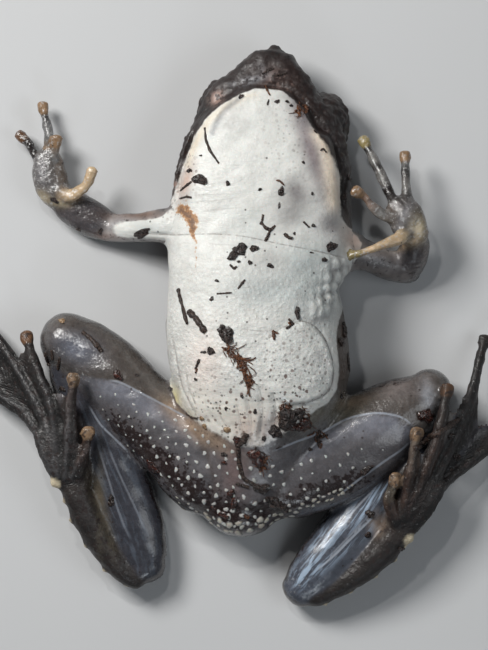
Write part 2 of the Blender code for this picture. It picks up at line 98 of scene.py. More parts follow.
class Form:
    # oval sections carried square to a smooth path, with ends domed along a quarter circle
    def __init__(self, name, stations, shape=(2.0, 2.0), caps=(1.0, 1.0), sides=36):
        rows = np.array([s if len(s) == 6 else (*s, s[4]) for s in stations], float)
        rows = smoothPath(rows, max(24, 8 * len(stations)))
        rows[:, :3] += offset
        self.name, self.rows, self.shape = name, rows, shape
        self.middle = rows[:, :3]
        self.along = lastAxis(np.gradient(self.middle, axis=0))
        self.side = lastAxis(np.cross(self.along, (0, 0, 1.0)))
        self.rise = lastAxis(np.cross(self.side, self.along))
        self.caps, self.sides = caps, sides

    def mesh(self):
        # ring point = middle + side * half * cos(a) ** power + rise * height * sin(a) ** power
        angle = np.linspace(0, 2 * math.pi, self.sides, endpoint=False)
        c, s = np.cos(angle), np.sin(angle)
        power = 2.0 / np.where(s >= 0, self.shape[0], self.shape[1])
        c, s = np.sign(c) * np.abs(c) ** power, np.sign(s) * np.abs(s) ** power
        domeRings = 5
        turn = np.linspace(0, math.pi / 2, domeRings + 2)[1:-1]
        order = np.concatenate([np.zeros(domeRings, int), np.arange(len(self.rows)),
                                np.full(domeRings, len(self.rows) - 1)])
        scale = np.concatenate([np.cos(turn[::-1]), np.ones(len(self.rows)), np.cos(turn)])
        reach = np.minimum(self.rows[:, 3], (self.rows[:, 4] + self.rows[:, 5]) / 2)
        push = np.concatenate([-self.caps[0] * reach[0] * np.sin(turn[::-1]), np.zeros(len(self.rows)),
                               self.caps[1] * reach[-1] * np.sin(turn)])
        middle = self.middle[order] + self.along[order] * push[:, None]
        half, up, down = (self.rows[order, k] * scale for k in (3, 4, 5))
        height = np.where(s >= 0, up[:, None], down[:, None]) * s
        points = middle[:, None] + self.side[order][:, None] * (half[:, None] * c)[..., None]
        points = points + self.rise[order][:, None] * height[..., None]
        poles = [self.middle[0] - self.along[0] * self.caps[0] * reach[0],
                 self.middle[-1] + self.along[-1] * self.caps[1] * reach[-1]]
        return np.concatenate([points.reshape(-1, 3), poles]), ringFaces(len(order), self.sides)

    def measure(self, points):
        # place of each point in the nearest section: reach (1 on the surface), share along and place across
        gap = (self.middle ** 2).sum(1) - 2 * points @ self.middle.T
        near = gap.argmin(1)
        off = points - self.middle[near]
        rows = self.rows[near]
        across = (off * self.side[near]).sum(1) / rows[:, 3]
        high = (off * self.rise[near]).sum(1)
        high = high / np.where(high >= 0, rows[:, 4], rows[:, 5])
        length = (off * self.along[near]).sum(1) / np.minimum(rows[:, 3], rows[:, 4])
        return np.sqrt(across ** 2 + high ** 2 + length ** 2), near / (len(self.rows) - 1), across


def ball(middle, radii, rings=14, sides=18):
    # a ball stretched to three radii
    turn = np.linspace(0, math.pi, rings + 2)[1:-1]
    angle = np.linspace(0, 2 * math.pi, sides, endpoint=False)
    unit = np.stack([np.sin(turn)[:, None] * np.cos(angle), np.sin(turn)[:, None] * np.sin(angle),
                     np.broadcast_to(np.cos(turn)[:, None], (rings, sides))], -1).reshape(-1, 3)
    unit = np.concatenate([unit, [(0, 0, 1), (0, 0, -1)]])
    return np.asarray(middle) + unit * np.asarray(radii), ringFaces(rings, sides)


def web(first, second, reach):
    # a slab between two toes: rows run along the toes, and the free edge sags by half a sine wave
    spans = 60
    a, b = smoothPath(first, spans), smoothPath(second, spans)
    rows, columns = skinForm["webGrid"]
    down, across = np.meshgrid(np.linspace(0, 1, rows), np.linspace(0, 1, columns), indexing="ij")
    spot = reach * (1 - skinForm["webSag"] * np.sin(math.pi * across)) * down * spans
    i = spot.astype(int)
    f = (spot - i)[..., None]
    pa = a[i] * (1 - f) + a[np.minimum(i + 1, spans)] * f
    pb = b[i] * (1 - f) + b[np.minimum(i + 1, spans)] * f
    sheet = pa + (pb - pa) * across[..., None] + offset
    half = np.array((0, 0, skinForm["webThickness"] / 2))
    ring = np.concatenate([sheet + half, (sheet - half)[:, ::-1]], axis=1)
    poles = [ring[0].mean(0), ring[-1].mean(0)]
    return np.concatenate([ring.reshape(-1, 3), poles]), ringFaces(*ring.shape[:2])


# Stations: x, y, z of the middle, half-width, height toward the belly, depth toward the back.
# The upper lip, fingers and toes are places alone.
trunk = {
    "torso": [
        (1.85, 12.2, 4.4, 6.7, 3.2, 3.9), (1.65, 10.4, 4.5, 7.8, 4.2, 4.4),
        (1.40, 7.7, 4.6, 8.3, 5.3, 4.72), (1.00, 4.2, 4.7, 7.7, 6.1, 4.82),
        (1.10, 0.6, 4.8, 8.05, 6.7, 4.92), (1.50, -3.2, 4.7, 8.1, 6.8, 4.82),
        (1.30, -5.9, 4.5, 7.6, 6.3, 4.62), (1.10, -8.3, 4.3, 6.4, 5.4, 4.3),
        (0.80, -10.8, 4.1, 5.3, 4.4, 4.0), (0.30, -13.0, 3.9, 5.0, 3.7, 3.7),
        (-0.1, -14.8, 3.8, 4.5, 3.2, 3.3), (-0.3, -16.0, 3.7, 3.4, 2.5, 2.6),
    ],
    "skull": [
        (1.55, 9.4, 4.2, 8.1, 2.1, 3.7), (1.75, 12.0, 4.2, 8.1, 2.1, 3.6),
        (1.98, 14.1, 4.1, 7.75, 2.1, 3.4), (2.12, 16.3, 4.0, 7.25, 2.1, 3.2),
        (2.15, 18.5, 4.0, 6.6, 2.0, 3.0), (2.20, 20.6, 4.0, 5.6, 1.9, 2.9),
        (2.45, 22.3, 3.9, 4.1, 1.8, 2.6), (2.60, 23.6, 3.8, 2.9, 1.6, 2.3),
        (2.70, 24.3, 3.7, 2.1, 1.45, 1.9),
    ],
    "jaw": [
        (2.00, 21.5, 5.9, 2.5, 0.9, 1.2), (1.85, 20.0, 6.0, 4.1, 1.2, 1.5),
        (1.60, 18.0, 6.1, 5.65, 1.6, 1.6), (1.65, 16.2, 6.2, 6.5, 2.0, 1.7),
        (1.62, 14.2, 6.3, 7.0, 2.4, 1.8), (1.50, 12.0, 6.3, 7.25, 2.8, 1.9),
        (1.40, 9.0, 6.3, 7.2, 3.0, 1.9),
    ],
    "snoutTip": [(3.3, 24.5, 3.6), (0.75, 0.8, 0.7)],      # middle and radii
    "nostrilRims": (3.1, 1.3, 23.65, 2.7),                 # middle of the pair, half the space between, y, z
    # raised fold of skin back along each side of the head: middle of the pair, half the space between, y, z
    "sideFold": [(2.1, 5.6, 17.0, 1.9, 0.45, 0.4), (2.0, 6.4, 15.4, 1.9, 0.5, 0.45),
                 (1.9, 7.2, 13.6, 2.6, 0.5, 0.45), (1.8, 7.5, 12.2, 3.6, 0.4, 0.4)],
    "upperLip": [
        (-6.0, 12.2, 4.95), (-5.62, 14.2, 5.1), (-5.1, 16.2, 5.2), (-4.3, 18.0, 5.35), (-2.55, 20.0, 5.45),
        (-0.8, 21.6, 5.5), (2.1, 22.75, 5.35), (4.75, 21.6, 5.5), (6.2, 20.0, 5.45), (7.5, 18.0, 5.35),
        (8.4, 16.2, 5.2), (8.87, 14.2, 5.1), (9.0, 12.2, 4.95),
    ],
}
armRight = {
    "upper": [(-4.6, 9.5, 5.2, 1.9, 1.6), (-6.8, 9.5, 4.8, 1.6, 1.5), (-9.3, 9.3, 3.2, 1.35, 1.3),
              (-11.6, 9.3, 1.7, 1.35, 1.35)],
    "forearm": [(-12.2, 9.4, 1.45, 1.4, 1.35), (-13.6, 10.1, 1.4, 1.65, 1.5), (-15.1, 11.0, 1.5, 1.6, 1.4),
                (-16.1, 11.6, 1.6, 1.4, 1.15)],
    "palm": [(-16.5, 11.9, 2.0, 1.35, 1.0), (-17.3, 13.4, 2.1, 1.6, 0.95), (-17.6, 15.0, 2.1, 1.45, 0.8),
             (-17.7, 15.9, 2.1, 1.1, 0.65)],
    "fingers": [
        [(-16.8, 13.0, 2.5), (-15.6, 12.2, 3.3), (-14.3, 12.7, 3.8), (-13.65, 14.2, 4.1)],
        [(-17.2, 14.6, 2.2), (-16.95, 15.9, 2.5), (-16.8, 17.2, 2.9)],
        [(-17.8, 15.2, 2.0), (-17.5, 17.4, 2.2), (-18.05, 20.2, 1.7)],
        [(-18.2, 14.8, 2.0), (-19.1, 16.8, 1.8), (-20.1, 17.6, 1.4)],
    ],
}
armLeft = {
    "upper": [(7.2, 7.6, 4.6, 2.2, 1.8), (9.3, 7.2, 4.2, 1.9, 1.5), (11.3, 6.7, 3.4, 1.45, 1.35),
              (13.2, 5.9, 2.2, 1.35, 1.35), (14.3, 5.6, 1.6, 1.3, 1.3)],
    "forearm": [(14.8, 5.6, 1.4, 1.35, 1.35), (15.2, 6.6, 2.2, 1.45, 1.4), (15.5, 7.6, 3.2, 1.35, 1.25),
                (15.6, 8.4, 3.9, 1.15, 1.0)],
    "palm": [(15.6, 8.6, 4.3, 1.3, 1.0), (14.9, 9.7, 4.8, 1.65, 0.9), (14.4, 10.8, 4.9, 1.6, 0.8),
             (14.2, 11.5, 4.8, 1.3, 0.65)],
    "fingers": [
        [(15.1, 9.0, 4.9), (13.6, 8.1, 5.9), (11.7, 7.35, 6.3), (10.05, 6.9, 6.4)],
        [(13.9, 9.7, 5.0), (12.1, 10.8, 5.7), (11.1, 11.9, 6.2), (10.2, 12.5, 6.7)],
        [(13.9, 10.9, 4.9), (13.0, 12.8, 4.7), (11.9, 15.2, 4.1), (10.9, 17.1, 3.4)],
        [(14.8, 10.9, 4.8), (14.7, 12.9, 4.4), (14.6, 15.8, 3.3)],
    ],
}
legRight = {
    "thigh": [(-1.8, -13.6, 3.9, 3.3, 2.5), (-3.1, -12.8, 3.95, 4.0, 3.0), (-5.4, -10.4, 3.9, 3.9, 3.1),
              (-8.1, -7.9, 3.75, 3.45, 3.05), (-10.05, -5.8, 3.6, 3.25, 3.0), (-11.8, -3.9, 3.4, 3.2, 2.9),
              (-14.0, -2.1, 3.15, 3.0, 2.7), (-15.9, -0.8, 3.0, 2.5, 2.4)],
    "shank": [(-15.5, -3.0, 2.4, 2.2, 1.9), (-13.6, -7.6, 2.3, 2.7, 2.2), (-11.8, -12.3, 2.2, 2.8, 2.32),
              (-10.1, -16.6, 2.1, 2.7, 2.22), (-9.3, -19.2, 2.0, 2.4, 1.9), (-8.85, -21.2, 1.8, 1.9, 1.6)],
    "tarsus": [(-9.7, -22.5, 2.1, 0.85, 1.0), (-11.2, -21.3, 2.5, 1.05, 1.15), (-12.7, -19.3, 2.9, 1.2, 1.25),
               (-13.9, -17.2, 3.4, 1.3, 1.2), (-14.8, -15.2, 3.8, 1.25, 1.1), (-15.1, -14.4, 3.9, 1.2, 1.05)],
    "sole": [(-15.1, -14.1, 3.9, 1.35, 0.95), (-15.6, -12.5, 4.3, 1.9, 0.85), (-16.4, -10.3, 4.5, 2.2, 0.75),
             (-17.0, -8.6, 4.4, 2.1, 0.6)],
    "toes": [
        [(-14.8, -12.8, 4.9), (-14.2, -10.7, 5.6), (-13.9, -9.1, 5.9)],
        [(-15.3, -12.0, 4.8), (-15.5, -8.0, 5.9), (-15.25, -4.3, 6.7)],
        [(-16.0, -11.2, 4.7), (-17.3, -6.8, 4.8), (-18.7, -3.2, 4.1), (-19.5, -0.6, 3.1)],
        [(-16.5, -11.0, 4.5), (-18.9, -6.0, 3.8), (-21.5, -1.6, 2.2), (-25.2, 2.7, 1.05)],
        [(-16.6, -12.0, 4.3), (-19.4, -7.8, 3.0), (-22.3, -5.7, 1.8), (-26.1, -2.8, 1.05)],
    ],
    "heel": (-16.9, -13.6, 4.2),
}
legLeft = {
    "thigh": [(1.9, -14.0, 3.9, 3.3, 2.5), (3.5, -13.2, 3.95, 4.0, 3.0), (6.1, -12.2, 3.9, 4.2, 3.15),
              (8.8, -11.0, 3.75, 4.2, 3.1), (12.0, -9.0, 3.5, 3.95, 3.0), (13.9, -7.6, 3.3, 3.45, 2.8),
              (15.6, -6.45, 3.1, 2.75, 2.6), (16.8, -5.4, 3.0, 2.0, 2.2)],
    "shank": [(16.2, -7.4, 2.4, 2.2, 1.9), (14.9, -10.0, 2.3, 2.6, 2.2), (12.9, -13.2, 2.2, 2.75, 2.32),
              (10.9, -16.4, 2.2, 2.8, 2.32), (9.0, -19.0, 2.1, 2.75, 2.22), (7.4, -20.9, 2.1, 2.6, 2.0),
              (6.0, -22.4, 1.9, 2.25, 1.8), (5.2, -23.3, 1.8, 1.75, 1.5)],
    "tarsus": [(6.6, -24.1, 2.1, 0.85, 1.0), (8.6, -23.0, 2.5, 1.0, 1.15), (10.6, -21.6, 2.9, 1.2, 1.25),
               (12.3, -20.1, 3.4, 1.3, 1.2), (13.4, -18.9, 3.8, 1.25, 1.1), (13.8, -18.3, 3.9, 1.2, 1.05)],
    "sole": [(14.0, -18.0, 4.0, 1.35, 0.95), (14.8, -16.4, 4.3, 1.9, 0.85), (15.7, -14.6, 4.5, 2.2, 0.75),
             (16.5, -13.0, 4.4, 2.1, 0.6)],
    "toes": [
        [(13.8, -17.2, 4.9), (13.1, -15.3, 5.6), (13.7, -13.3, 5.9)],
        [(14.4, -16.8, 4.8), (15.0, -13.0, 5.9), (15.6, -9.2, 6.6)],
        [(14.9, -16.6, 4.7), (16.5, -12.5, 5.3), (17.7, -8.7, 5.6), (18.4, -5.3, 5.3)],
        [(15.2, -16.6, 4.5), (17.8, -12.3, 4.3), (20.2, -7.0, 3.2), (21.8, -0.9, 1.6)],
        [(15.3, -17.2, 4.3), (18.0, -13.8, 3.4), (22.0, -10.6, 2.0), (25.2, -7.6, 1.05)],
    ],
    "heel": (14.9, -18.7, 4.2),
}
skinForm = {
    "voxel": 0.2,                           # size of the fused surface's cells
    "budget": 128000,                       # triangles before the fine zones are divided
    "finger": 0.46,                         # radius of the fingers, and how much thicker the first one is
    "thumb": 1.2,
    "toe": 0.52,                            # radius of the toes
    # girth of a digit at its root, joints and neck, and where the neck lies behind the tip, all in radii
    "root": 1.2,
    "joint": 1.06,
    "neck": 0.82,
    "neckBack": 2.0,
    # a disc's width and the thumb's blunt tip, and the disc's two ends and its thickness there, in radii
    "discSpread": 1.2,
    "thumbSpread": 0.95,
    "discEnds": (-0.6, 0.5),
    "discThick": (0.95, 0.85),
    "jointPad": (0.34, 0.34, 0.26),         # radii of the pad under the middle joint of a finger
    "webThickness": 0.42,
    "webReach": (0.45, 0.75, 0.85, 0.85),   # how far each web runs along its toes, as a share
    "webSag": 0.3,
    "webGrid": (24, 14),
    "lid": 2.62,                            # radius of the lids round an eye
    "lip": 0.38,                            # radius of the upper lip's rolled edge
    "nostrilRim": 0.42,
    "heel": (0.55, 0.55, 0.5),              # radii of the tubercle at the heel
    "tubercle": 0.27,                       # radius of those along the tarsus
}
eyes = {
    "middle": {"right": (-1.05, 19.65, 2.45), "left": (7.55, 18.45, 2.45)},
    "look": {"right": (-0.93, 0.3, -0.2), "left": (0.96, 0.14, -0.2)},
    "radius": 2.05,
    "opening": (1.95, 1.45),                # half-width and half-height of the almond between the lids
    "lidGap": 0.16,                         # skin over the eyeball
    "lidRim": 0.12,                         # height of the rolled edge of the lids
    "sunk": 0.35,                           # how far the skin drops behind the ball inside the opening
    "dome": 0.035,                          # how far the clear front stands out, as a share of the radius
    "pupil": (0.44, 0.27),                  # half-width and half-height, as shares of the radius
    "iris": (0.72, 0.8),                    # where the ring starts to darken and where it ends
}


def digitStations(points, radius, spread):
    # a finger or toe: it narrows from its root, swells a little at each joint and ends in a flat disc
    points = np.array(points, float)
    ahead = lastAxis(points[-1] - points[-2])
    neck = points[-1] - ahead * radius * skinForm["neckBack"]
    rows = [(*points[0], *[radius * skinForm["root"]] * 2)]
    for point in points[1:-1]:
        if np.linalg.norm(point - neck) > 0.9:      # a joint nearer to the neck would crowd it
            rows.append((*point, *[radius * skinForm["joint"]] * 2))
    rows.append((*neck, *[radius * skinForm["neck"]] * 2))
    for end, thick in zip(skinForm["discEnds"], skinForm["discThick"]):
        rows.append((*(points[-1] + ahead * radius * end), radius * spread, radius * thick))
    return rows


def tarsusTubercles(tarsus):
    # five spots along the tarsus, on the edge away from the snout
    i = (np.array([0.07, 0.27, 0.47, 0.67, 0.87]) * (len(tarsus.rows) - 1)).astype(int)
    edge = tarsus.side[i] * tarsus.rows[i, 3][:, None]
    return tarsus.middle[i] - edge * np.sign(edge[:, 1:2])


def buildForms():
    # every form of flesh, and the loose balls and webs that only add volume
    forms = [
        Form("torso", trunk["torso"], shape=(2.25, 2.7), sides=72),
        Form("skull", trunk["skull"], shape=(3.0, 2.2), caps=(0.6, 0.6), sides=64),
        Form("jaw", trunk["jaw"], shape=(2.3, 2.6), caps=(0.4, 0.6), sides=64),
    ]
    extra = [ball(*trunk["snoutTip"])]
    for side, arm in (("Right", armRight), ("Left", armLeft)):
        forms.append(Form("upper" + side, arm["upper"]))
        forms.append(Form("forearm" + side, arm["forearm"]))
        forms.append(Form("palm" + side, arm["palm"]))
        for k, points in enumerate(arm["fingers"]):
            thick = skinForm["thumb"] if k == 0 else 1.0
            spread = skinForm["thumbSpread"] if k == 0 else skinForm["discSpread"]
            rows = digitStations(points, skinForm["finger"] * thick, spread)
            forms.append(Form("finger%d%s" % (k + 1, side), rows, sides=18, caps=(0.8, 0.8)))
            joint = np.array(points[len(points) // 2]) + offset + (0, 0, skinForm["finger"] * 0.55)
            extra.append(ball(joint, skinForm["jointPad"], 8, 12))
    for side, leg in (("Right", legRight), ("Left", legLeft)):
        forms.append(Form("thigh" + side, leg["thigh"], sides=48))
        forms.append(Form("shank" + side, leg["shank"], sides=40))
        forms.append(Form("tarsus" + side, leg["tarsus"]))
        forms.append(Form("sole" + side, leg["sole"]))
        for k, points in enumerate(leg["toes"]):
            rows = digitStations(points, skinForm["toe"], skinForm["discSpread"])
            forms.append(Form("toe%d%s" % (k + 1, side), rows, sides=20, caps=(0.8, 0.8)))
        for k, (first, second) in enumerate(zip(leg["toes"], leg["toes"][1:])):
            extra.append(web(first, second, skinForm["webReach"][k]))
        extra.append(ball(np.array(leg["heel"]) + offset, skinForm["heel"], 8, 12))
        tarsus = next(form for form in forms if form.name == "tarsus" + side)
        for spot in tarsusTubercles(tarsus):
            extra.append(ball(spot, [skinForm["tubercle"]] * 3, 8, 12))
    lip = [(*point, skinForm["lip"], skinForm["lip"]) for point in trunk["upperLip"]]
    extra.append(Form("lip", lip, sides=16).mesh())
    for side, sign in (("right", -1), ("left", 1)):
        extra.append(ball(eyes["middle"][side], [skinForm["lid"]] * 3, 20, 30))
        (rim,), fold = ([(x + sign * apart, *rest) for x, apart, *rest in rows]
                        for rows in ([trunk["nostrilRims"]], trunk["sideFold"]))
        extra.append(ball(rim, [skinForm["nostrilRim"]] * 3, 8, 12))
        extra.append(Form("fold", fold, sides=14).mesh())
    return forms, extra


def joinMeshes(meshes):
    # points of all the meshes in one array, and their faces counted on
    points, faces, count = [], [], 0
    for some, polygons in meshes:
        points.append(some)
        faces += [[i + count for i in polygon] for polygon in polygons]
        count += len(some)
    return np.concatenate(points), faces


def makeObject(name, points, faces, smooth=True):
    # an object at the origin from points in millimetres
    mesh = bpy.data.meshes.new(name)
    polygons = faces if isinstance(faces, list) else faces.tolist()
    mesh.from_pydata((np.asarray(points) * 0.001).tolist(), [], polygons)
    mesh.validate()
    mesh.polygons.foreach_set("use_smooth", np.full(len(mesh.polygons), smooth))
    mesh.update()
    obj = bpy.data.objects.new(name, mesh)
    bpy.context.scene.collection.objects.link(obj)
    return obj


def fuse(points, faces):
    # one closed surface round all the forms, read back as points and triangles
    mesh = bpy.data.meshes.new("flesh")
    mesh.from_pydata(points.tolist(), [], faces)
    obj = bpy.data.objects.new("flesh", mesh)
    bpy.context.scene.collection.objects.link(obj)
    wrap = obj.modifiers.new("Fuse", "REMESH")
    wrap.mode, wrap.voxel_size, wrap.adaptivity = "VOXEL", skinForm["voxel"], 0.0
    fused = bpy.data.meshes.new_from_object(obj.evaluated_get(bpy.context.evaluated_depsgraph_get()))
    bpy.data.objects.remove(obj, do_unlink=True)
    found = readMesh(fused)
    bpy.data.meshes.remove(fused)
    return found


def readMesh(mesh):
    # points and triangles of a mesh as arrays
    mesh.calc_loop_triangles()
    points = np.empty(len(mesh.vertices) * 3, np.float32)
    mesh.vertices.foreach_get("co", points)
    tris = np.empty(len(mesh.loop_triangles) * 3, np.int32)
    mesh.loop_triangles.foreach_get("vertices", tris)
    return points.reshape(-1, 3).astype(float), tris.reshape(-1, 3)


def edgesOf(tris):
    # every edge once, and for each side of each triangle which edge it is
    pairs = np.sort(np.concatenate([tris[:, [0, 1]], tris[:, [1, 2]], tris[:, [2, 0]]]), axis=1)
    key = pairs[:, 0].astype(np.int64) * (tris.max() + 1) + pairs[:, 1]
    _, first, back = np.unique(key, return_index=True, return_inverse=True)
    return pairs[first], back.reshape(-1)


def averages(points, edges):
    # mean place of each point's neighbours
    count = len(points)
    ends = np.concatenate([edges[:, 0], edges[:, 1]])
    others = np.concatenate([edges[:, 1], edges[:, 0]])
    share = np.maximum(np.bincount(ends, minlength=count), 1)
    sums = [np.bincount(ends, weights=points[others, k], minlength=count) for k in range(3)]
    return np.stack([total / share for total in sums], -1)


def relax(points, edges, rounds, weight=1.0, shrink=True):
    # each round moves a point toward its neighbours' mean; without shrinking, a second step moves it back
    weight = np.broadcast_to(np.asarray(weight, float), len(points))[:, None]
    for _ in range(rounds):
        points = points + 0.5 * weight * (averages(points, edges) - points)
        if not shrink:
            points = points - 0.52 * weight * (averages(points, edges) - points)
    return points


def normalsOf(points, tris):
    # each point's direction: the sum of its triangles' directions, by their size
    a, b, c = (points[tris[:, k]] for k in range(3))
    face = np.cross(b - a, c - a)
    total = np.zeros_like(points)
    for k in range(3):
        for axis in range(3):
            total[:, axis] += np.bincount(tris[:, k], weights=face[:, axis], minlength=len(points))
    return lastAxis(total)


def divide(points, tris, near):
    # every edge with both ends marked gets a middle point; its triangles become four, or two at the border
    edges, back = edgesOf(tris)
    marked = near[edges[:, 0]] & near[edges[:, 1]]
    middle = np.full(len(edges), -1)
    middle[marked] = len(points) + np.arange(marked.sum())
    points = np.concatenate([points, points[edges[marked]].mean(1)])
    m = middle[back].reshape(3, -1).T
    cut = (m >= 0).sum(1)
    parts = [tris[cut == 0]]
    t, n = tris[cut == 3], m[cut == 3]
    parts += [np.stack([t[:, 0], n[:, 0], n[:, 2]], -1), np.stack([t[:, 1], n[:, 1], n[:, 0]], -1),
              np.stack([t[:, 2], n[:, 2], n[:, 1]], -1), n]
    for k in range(3):
        only = (cut == 1) & (m[:, k] >= 0)
        a, b, c = tris[only, k], tris[only, (k + 1) % 3], tris[only, (k + 2) % 3]
        parts += [np.stack([a, m[only, k], c], -1), np.stack([m[only, k], b, c], -1)]
    return points, np.concatenate(parts)


def lineDistance(places, path, spans=None):
    # distance to a smooth line, and the share of its length at the nearest spot
    path = smoothPath(path, spans or 8 * len(path))
    best = np.full(len(places), np.inf)
    share = np.zeros(len(places))
    for i, (a, b) in enumerate(zip(path[:-1], path[1:])):
        run = b - a
        t = np.clip(((places - a) @ run) / max(run @ run, 1e-12), 0, 1)
        gap = np.linalg.norm(places - (a + t[:, None] * run), axis=1)
        closer = gap < best
        best[closer], share[closer] = gap[closer], (i + t[closer]) / (len(path) - 1)
    return best, share


def insideDistance(places, outline):
    # signed distance to a closed outline, positive inside
    outline = np.asarray(outline, float)
    best = np.full(len(places), np.inf)
    inside = np.zeros(len(places), bool)
    for a, b in zip(outline, np.roll(outline, -1, axis=0)):
        run = b - a
        t = np.clip(((places - a) @ run) / (run @ run), 0, 1)
        best = np.minimum(best, np.linalg.norm(places - (a + t[:, None] * run), axis=1))
        crosses = (a[1] > places[:, 1]) != (b[1] > places[:, 1])
        at = a[0] + (places[:, 1] - a[1]) / (run[1] or 1e-9) * run[0]
        inside ^= crosses & (places[:, 0] < at)
    return np.where(inside, best, -best)


def waves(points, scale, seed, count=5):
    # smooth uneven field from -1 to 1: a sum of sine waves in seeded directions
    wild = np.random.default_rng(seed)
    total = np.zeros(len(points))
    for _ in range(count):
        way = lastAxis(wild.normal(size=3)) * scale * wild.uniform(0.7, 1.5)
        total += np.sin(points @ way + wild.uniform(0, 2 * math.pi))
    return total / count * 1.6


# numbers that throw the middle of each cell to a fixed but scattered place
cellMix = np.array([[12.9, 78.2, 37.7], [39.3, 11.1, 83.1], [73.2, 52.2, 9.1]])


def lumps(points, scale, seed):
    # cell-like granules: 1 at the middle of each seeded cell and 0 at its edge
    place = points * scale
    cell = np.floor(place)
    best = np.full(len(points), 9.0)
    for i in (-1, 0, 1):
        for j in (-1, 0, 1):
            for k in (-1, 0, 1):
                near = cell + (i, j, k)
                mix = np.sin(near @ cellMix + seed) * 43758.5
                spot = near + 0.5 + 0.38 * (2 * (mix - np.floor(mix)) - 1)
                best = np.minimum(best, np.linalg.norm(place - spot, axis=1))
    return np.clip(1 - best / 0.75, 0, 1)


skinMarks = {
    # map places of the folds, with width in map steps, depth in mm and how dark the painted shade along them
    # is
    "folds": [
        ([(120, 232), (168, 235), (205, 234), (240, 236), (280, 244), (320, 252), (352, 260)], 1.7, 0.1, 0.6),
        ([(206, 244), (240, 246), (268, 250)], 1.6, 0.025, 0.2),
        ([(238, 328), (262, 331), (282, 327)], 1.6, 0.05, 0.4),
        ([(186, 372), (189, 390), (196, 406)], 1.5, 0.08, 0.55),
        ([(172, 334), (176, 358), (182, 386), (190, 404), (198, 416)], 1.5, 0.08, 0.5),
        ([(222, 186), (234, 184), (246, 178)], 2.2, 0.05, 0.2),
        ([(190, 203), (214, 201), (236, 198)], 1.8, 0.04, 0.25),
        ([(200, 212), (226, 209), (250, 208)], 1.8, 0.035, 0.25),
        ([(210, 176), (228, 172), (242, 166)], 1.8, 0.03, 0.15),
        ([(241, 98), (229, 107), (219, 119), (212, 134)], 2.4, 0.07, 0),
        ([(272, 392), (276, 408), (274, 424)], 2.4, 0.2, 0.45),
        ([(258, 384), (262, 402), (262, 420), (258, 440)], 2.4, 0.2, 0.4),
        ([(246, 396), (250, 412), (252, 428)], 2.2, 0.16, 0.3),
        ([(236, 404), (240, 420), (244, 440)], 2.0, 0.14, 0.3),
        ([(216, 402), (222, 420), (232, 434)], 2.0, 0.12, 0.25),
        ([(204, 400), (210, 414), (222, 428)], 1.8, 0.07, 0.1),
        ([(236, 372), (246, 356), (262, 338)], 1.6, 0.03, 0),
        ([(338, 172), (340, 190), (344, 208)], 2.0, 0.05, 0),
    ],
    # thin pale lines seen through the skin of the legs, with their strength
    "paleLines": [
        ([(108, 380), (122, 383), (145, 395), (170, 408), (190, 419)], 0.6),
        ([(88, 404), (100, 424), (116, 440), (128, 452)], 0.55),
        ([(270, 452), (282, 447), (300, 440), (324, 431), (338, 423), (352, 417), (376, 413), (394, 415),
          (406, 420), (416, 430)], 0.9),
        ([(412, 440), (398, 452), (383, 462), (358, 480), (337, 497)], 0.8),
        ([(96, 440), (108, 478), (118, 510), (130, 540)], 0.28),
        ([(108, 448), (122, 480), (136, 510), (146, 532)], 0.28),
        ([(378, 486), (360, 504), (338, 530), (322, 556)], 0.8),
        ([(378, 512), (356, 534), (336, 554), (314, 573)], 0.9),
        ([(366, 518), (346, 540), (330, 556)], 0.5),
    ],
    # outline of the smooth raised lobe low on the belly
    "lobe": [(266, 336), (284, 327), (302, 321), (319, 330), (329, 347), (334, 368), (332, 386), (322, 397),
             (306, 403), (288, 405), (274, 400), (264, 386), (260, 360)],
}
headMarks = {
    "gapeFront": [(1.5, 21.85, 5.1), (2.5, 22.05, 5.05), (3.4, 21.85, 5.1)],
    "gapeOut": 0.12,       # how far the gape lies outside and under the jaw's widest line
    "gapeUnder": 0.55,
    # rings of relief round a line or spot: distance from it, height and width
    "gape": [(0, -0.2, 0.16), (0.45, 0.06, 0.2)],
    "nostril": [(0, -0.3, 0.24)],
    "eardrum": [(1.15, 0.12, 0.18)],
    "drumDepth": 0.1,
    # middle of the pair and half the space between them
    "nostrils": ((3.1, 23.8, 2.45), 1.62),
    "eardrums": ((2.45, 14.25, 3.2), 7.35),
}


def mouthPath():
    # the gape runs along the jaw's widest line, from corner to corner round the front
    rows = np.array(trunk["jaw"])[:6]
    middle = rows[:, :3] + offset - (0, 0, headMarks["gapeUnder"])
    out = (rows[:, 3] + headMarks["gapeOut"])[:, None] * np.array([1.0, 0, 0])
    return np.concatenate([(middle - out)[::-1], headMarks["gapeFront"], middle + out])


print("skin: forms")
forms, extra = buildForms()
points, faces = joinMeshes([form.mesh() for form in forms] + extra)
print("skin: fuse", len(points))
points, tris = fuse(points, faces)
print("skin: fused", len(points), "points", len(tris), "triangles")


def nearestForms(points):
    # for every point the two forms whose surface is nearest in their own sections
    reaches = np.stack([form.measure(points)[0] for form in forms])
    order = np.argsort(reaches, axis=0)[:2]
    columns = np.arange(len(points))
    return order[0], order[1], reaches[order[0], columns], reaches[order[1], columns]


names = [form.name for form in forms]
kinds = [name.replace("Right", "").replace("Left", "").rstrip("12345") for name in names]


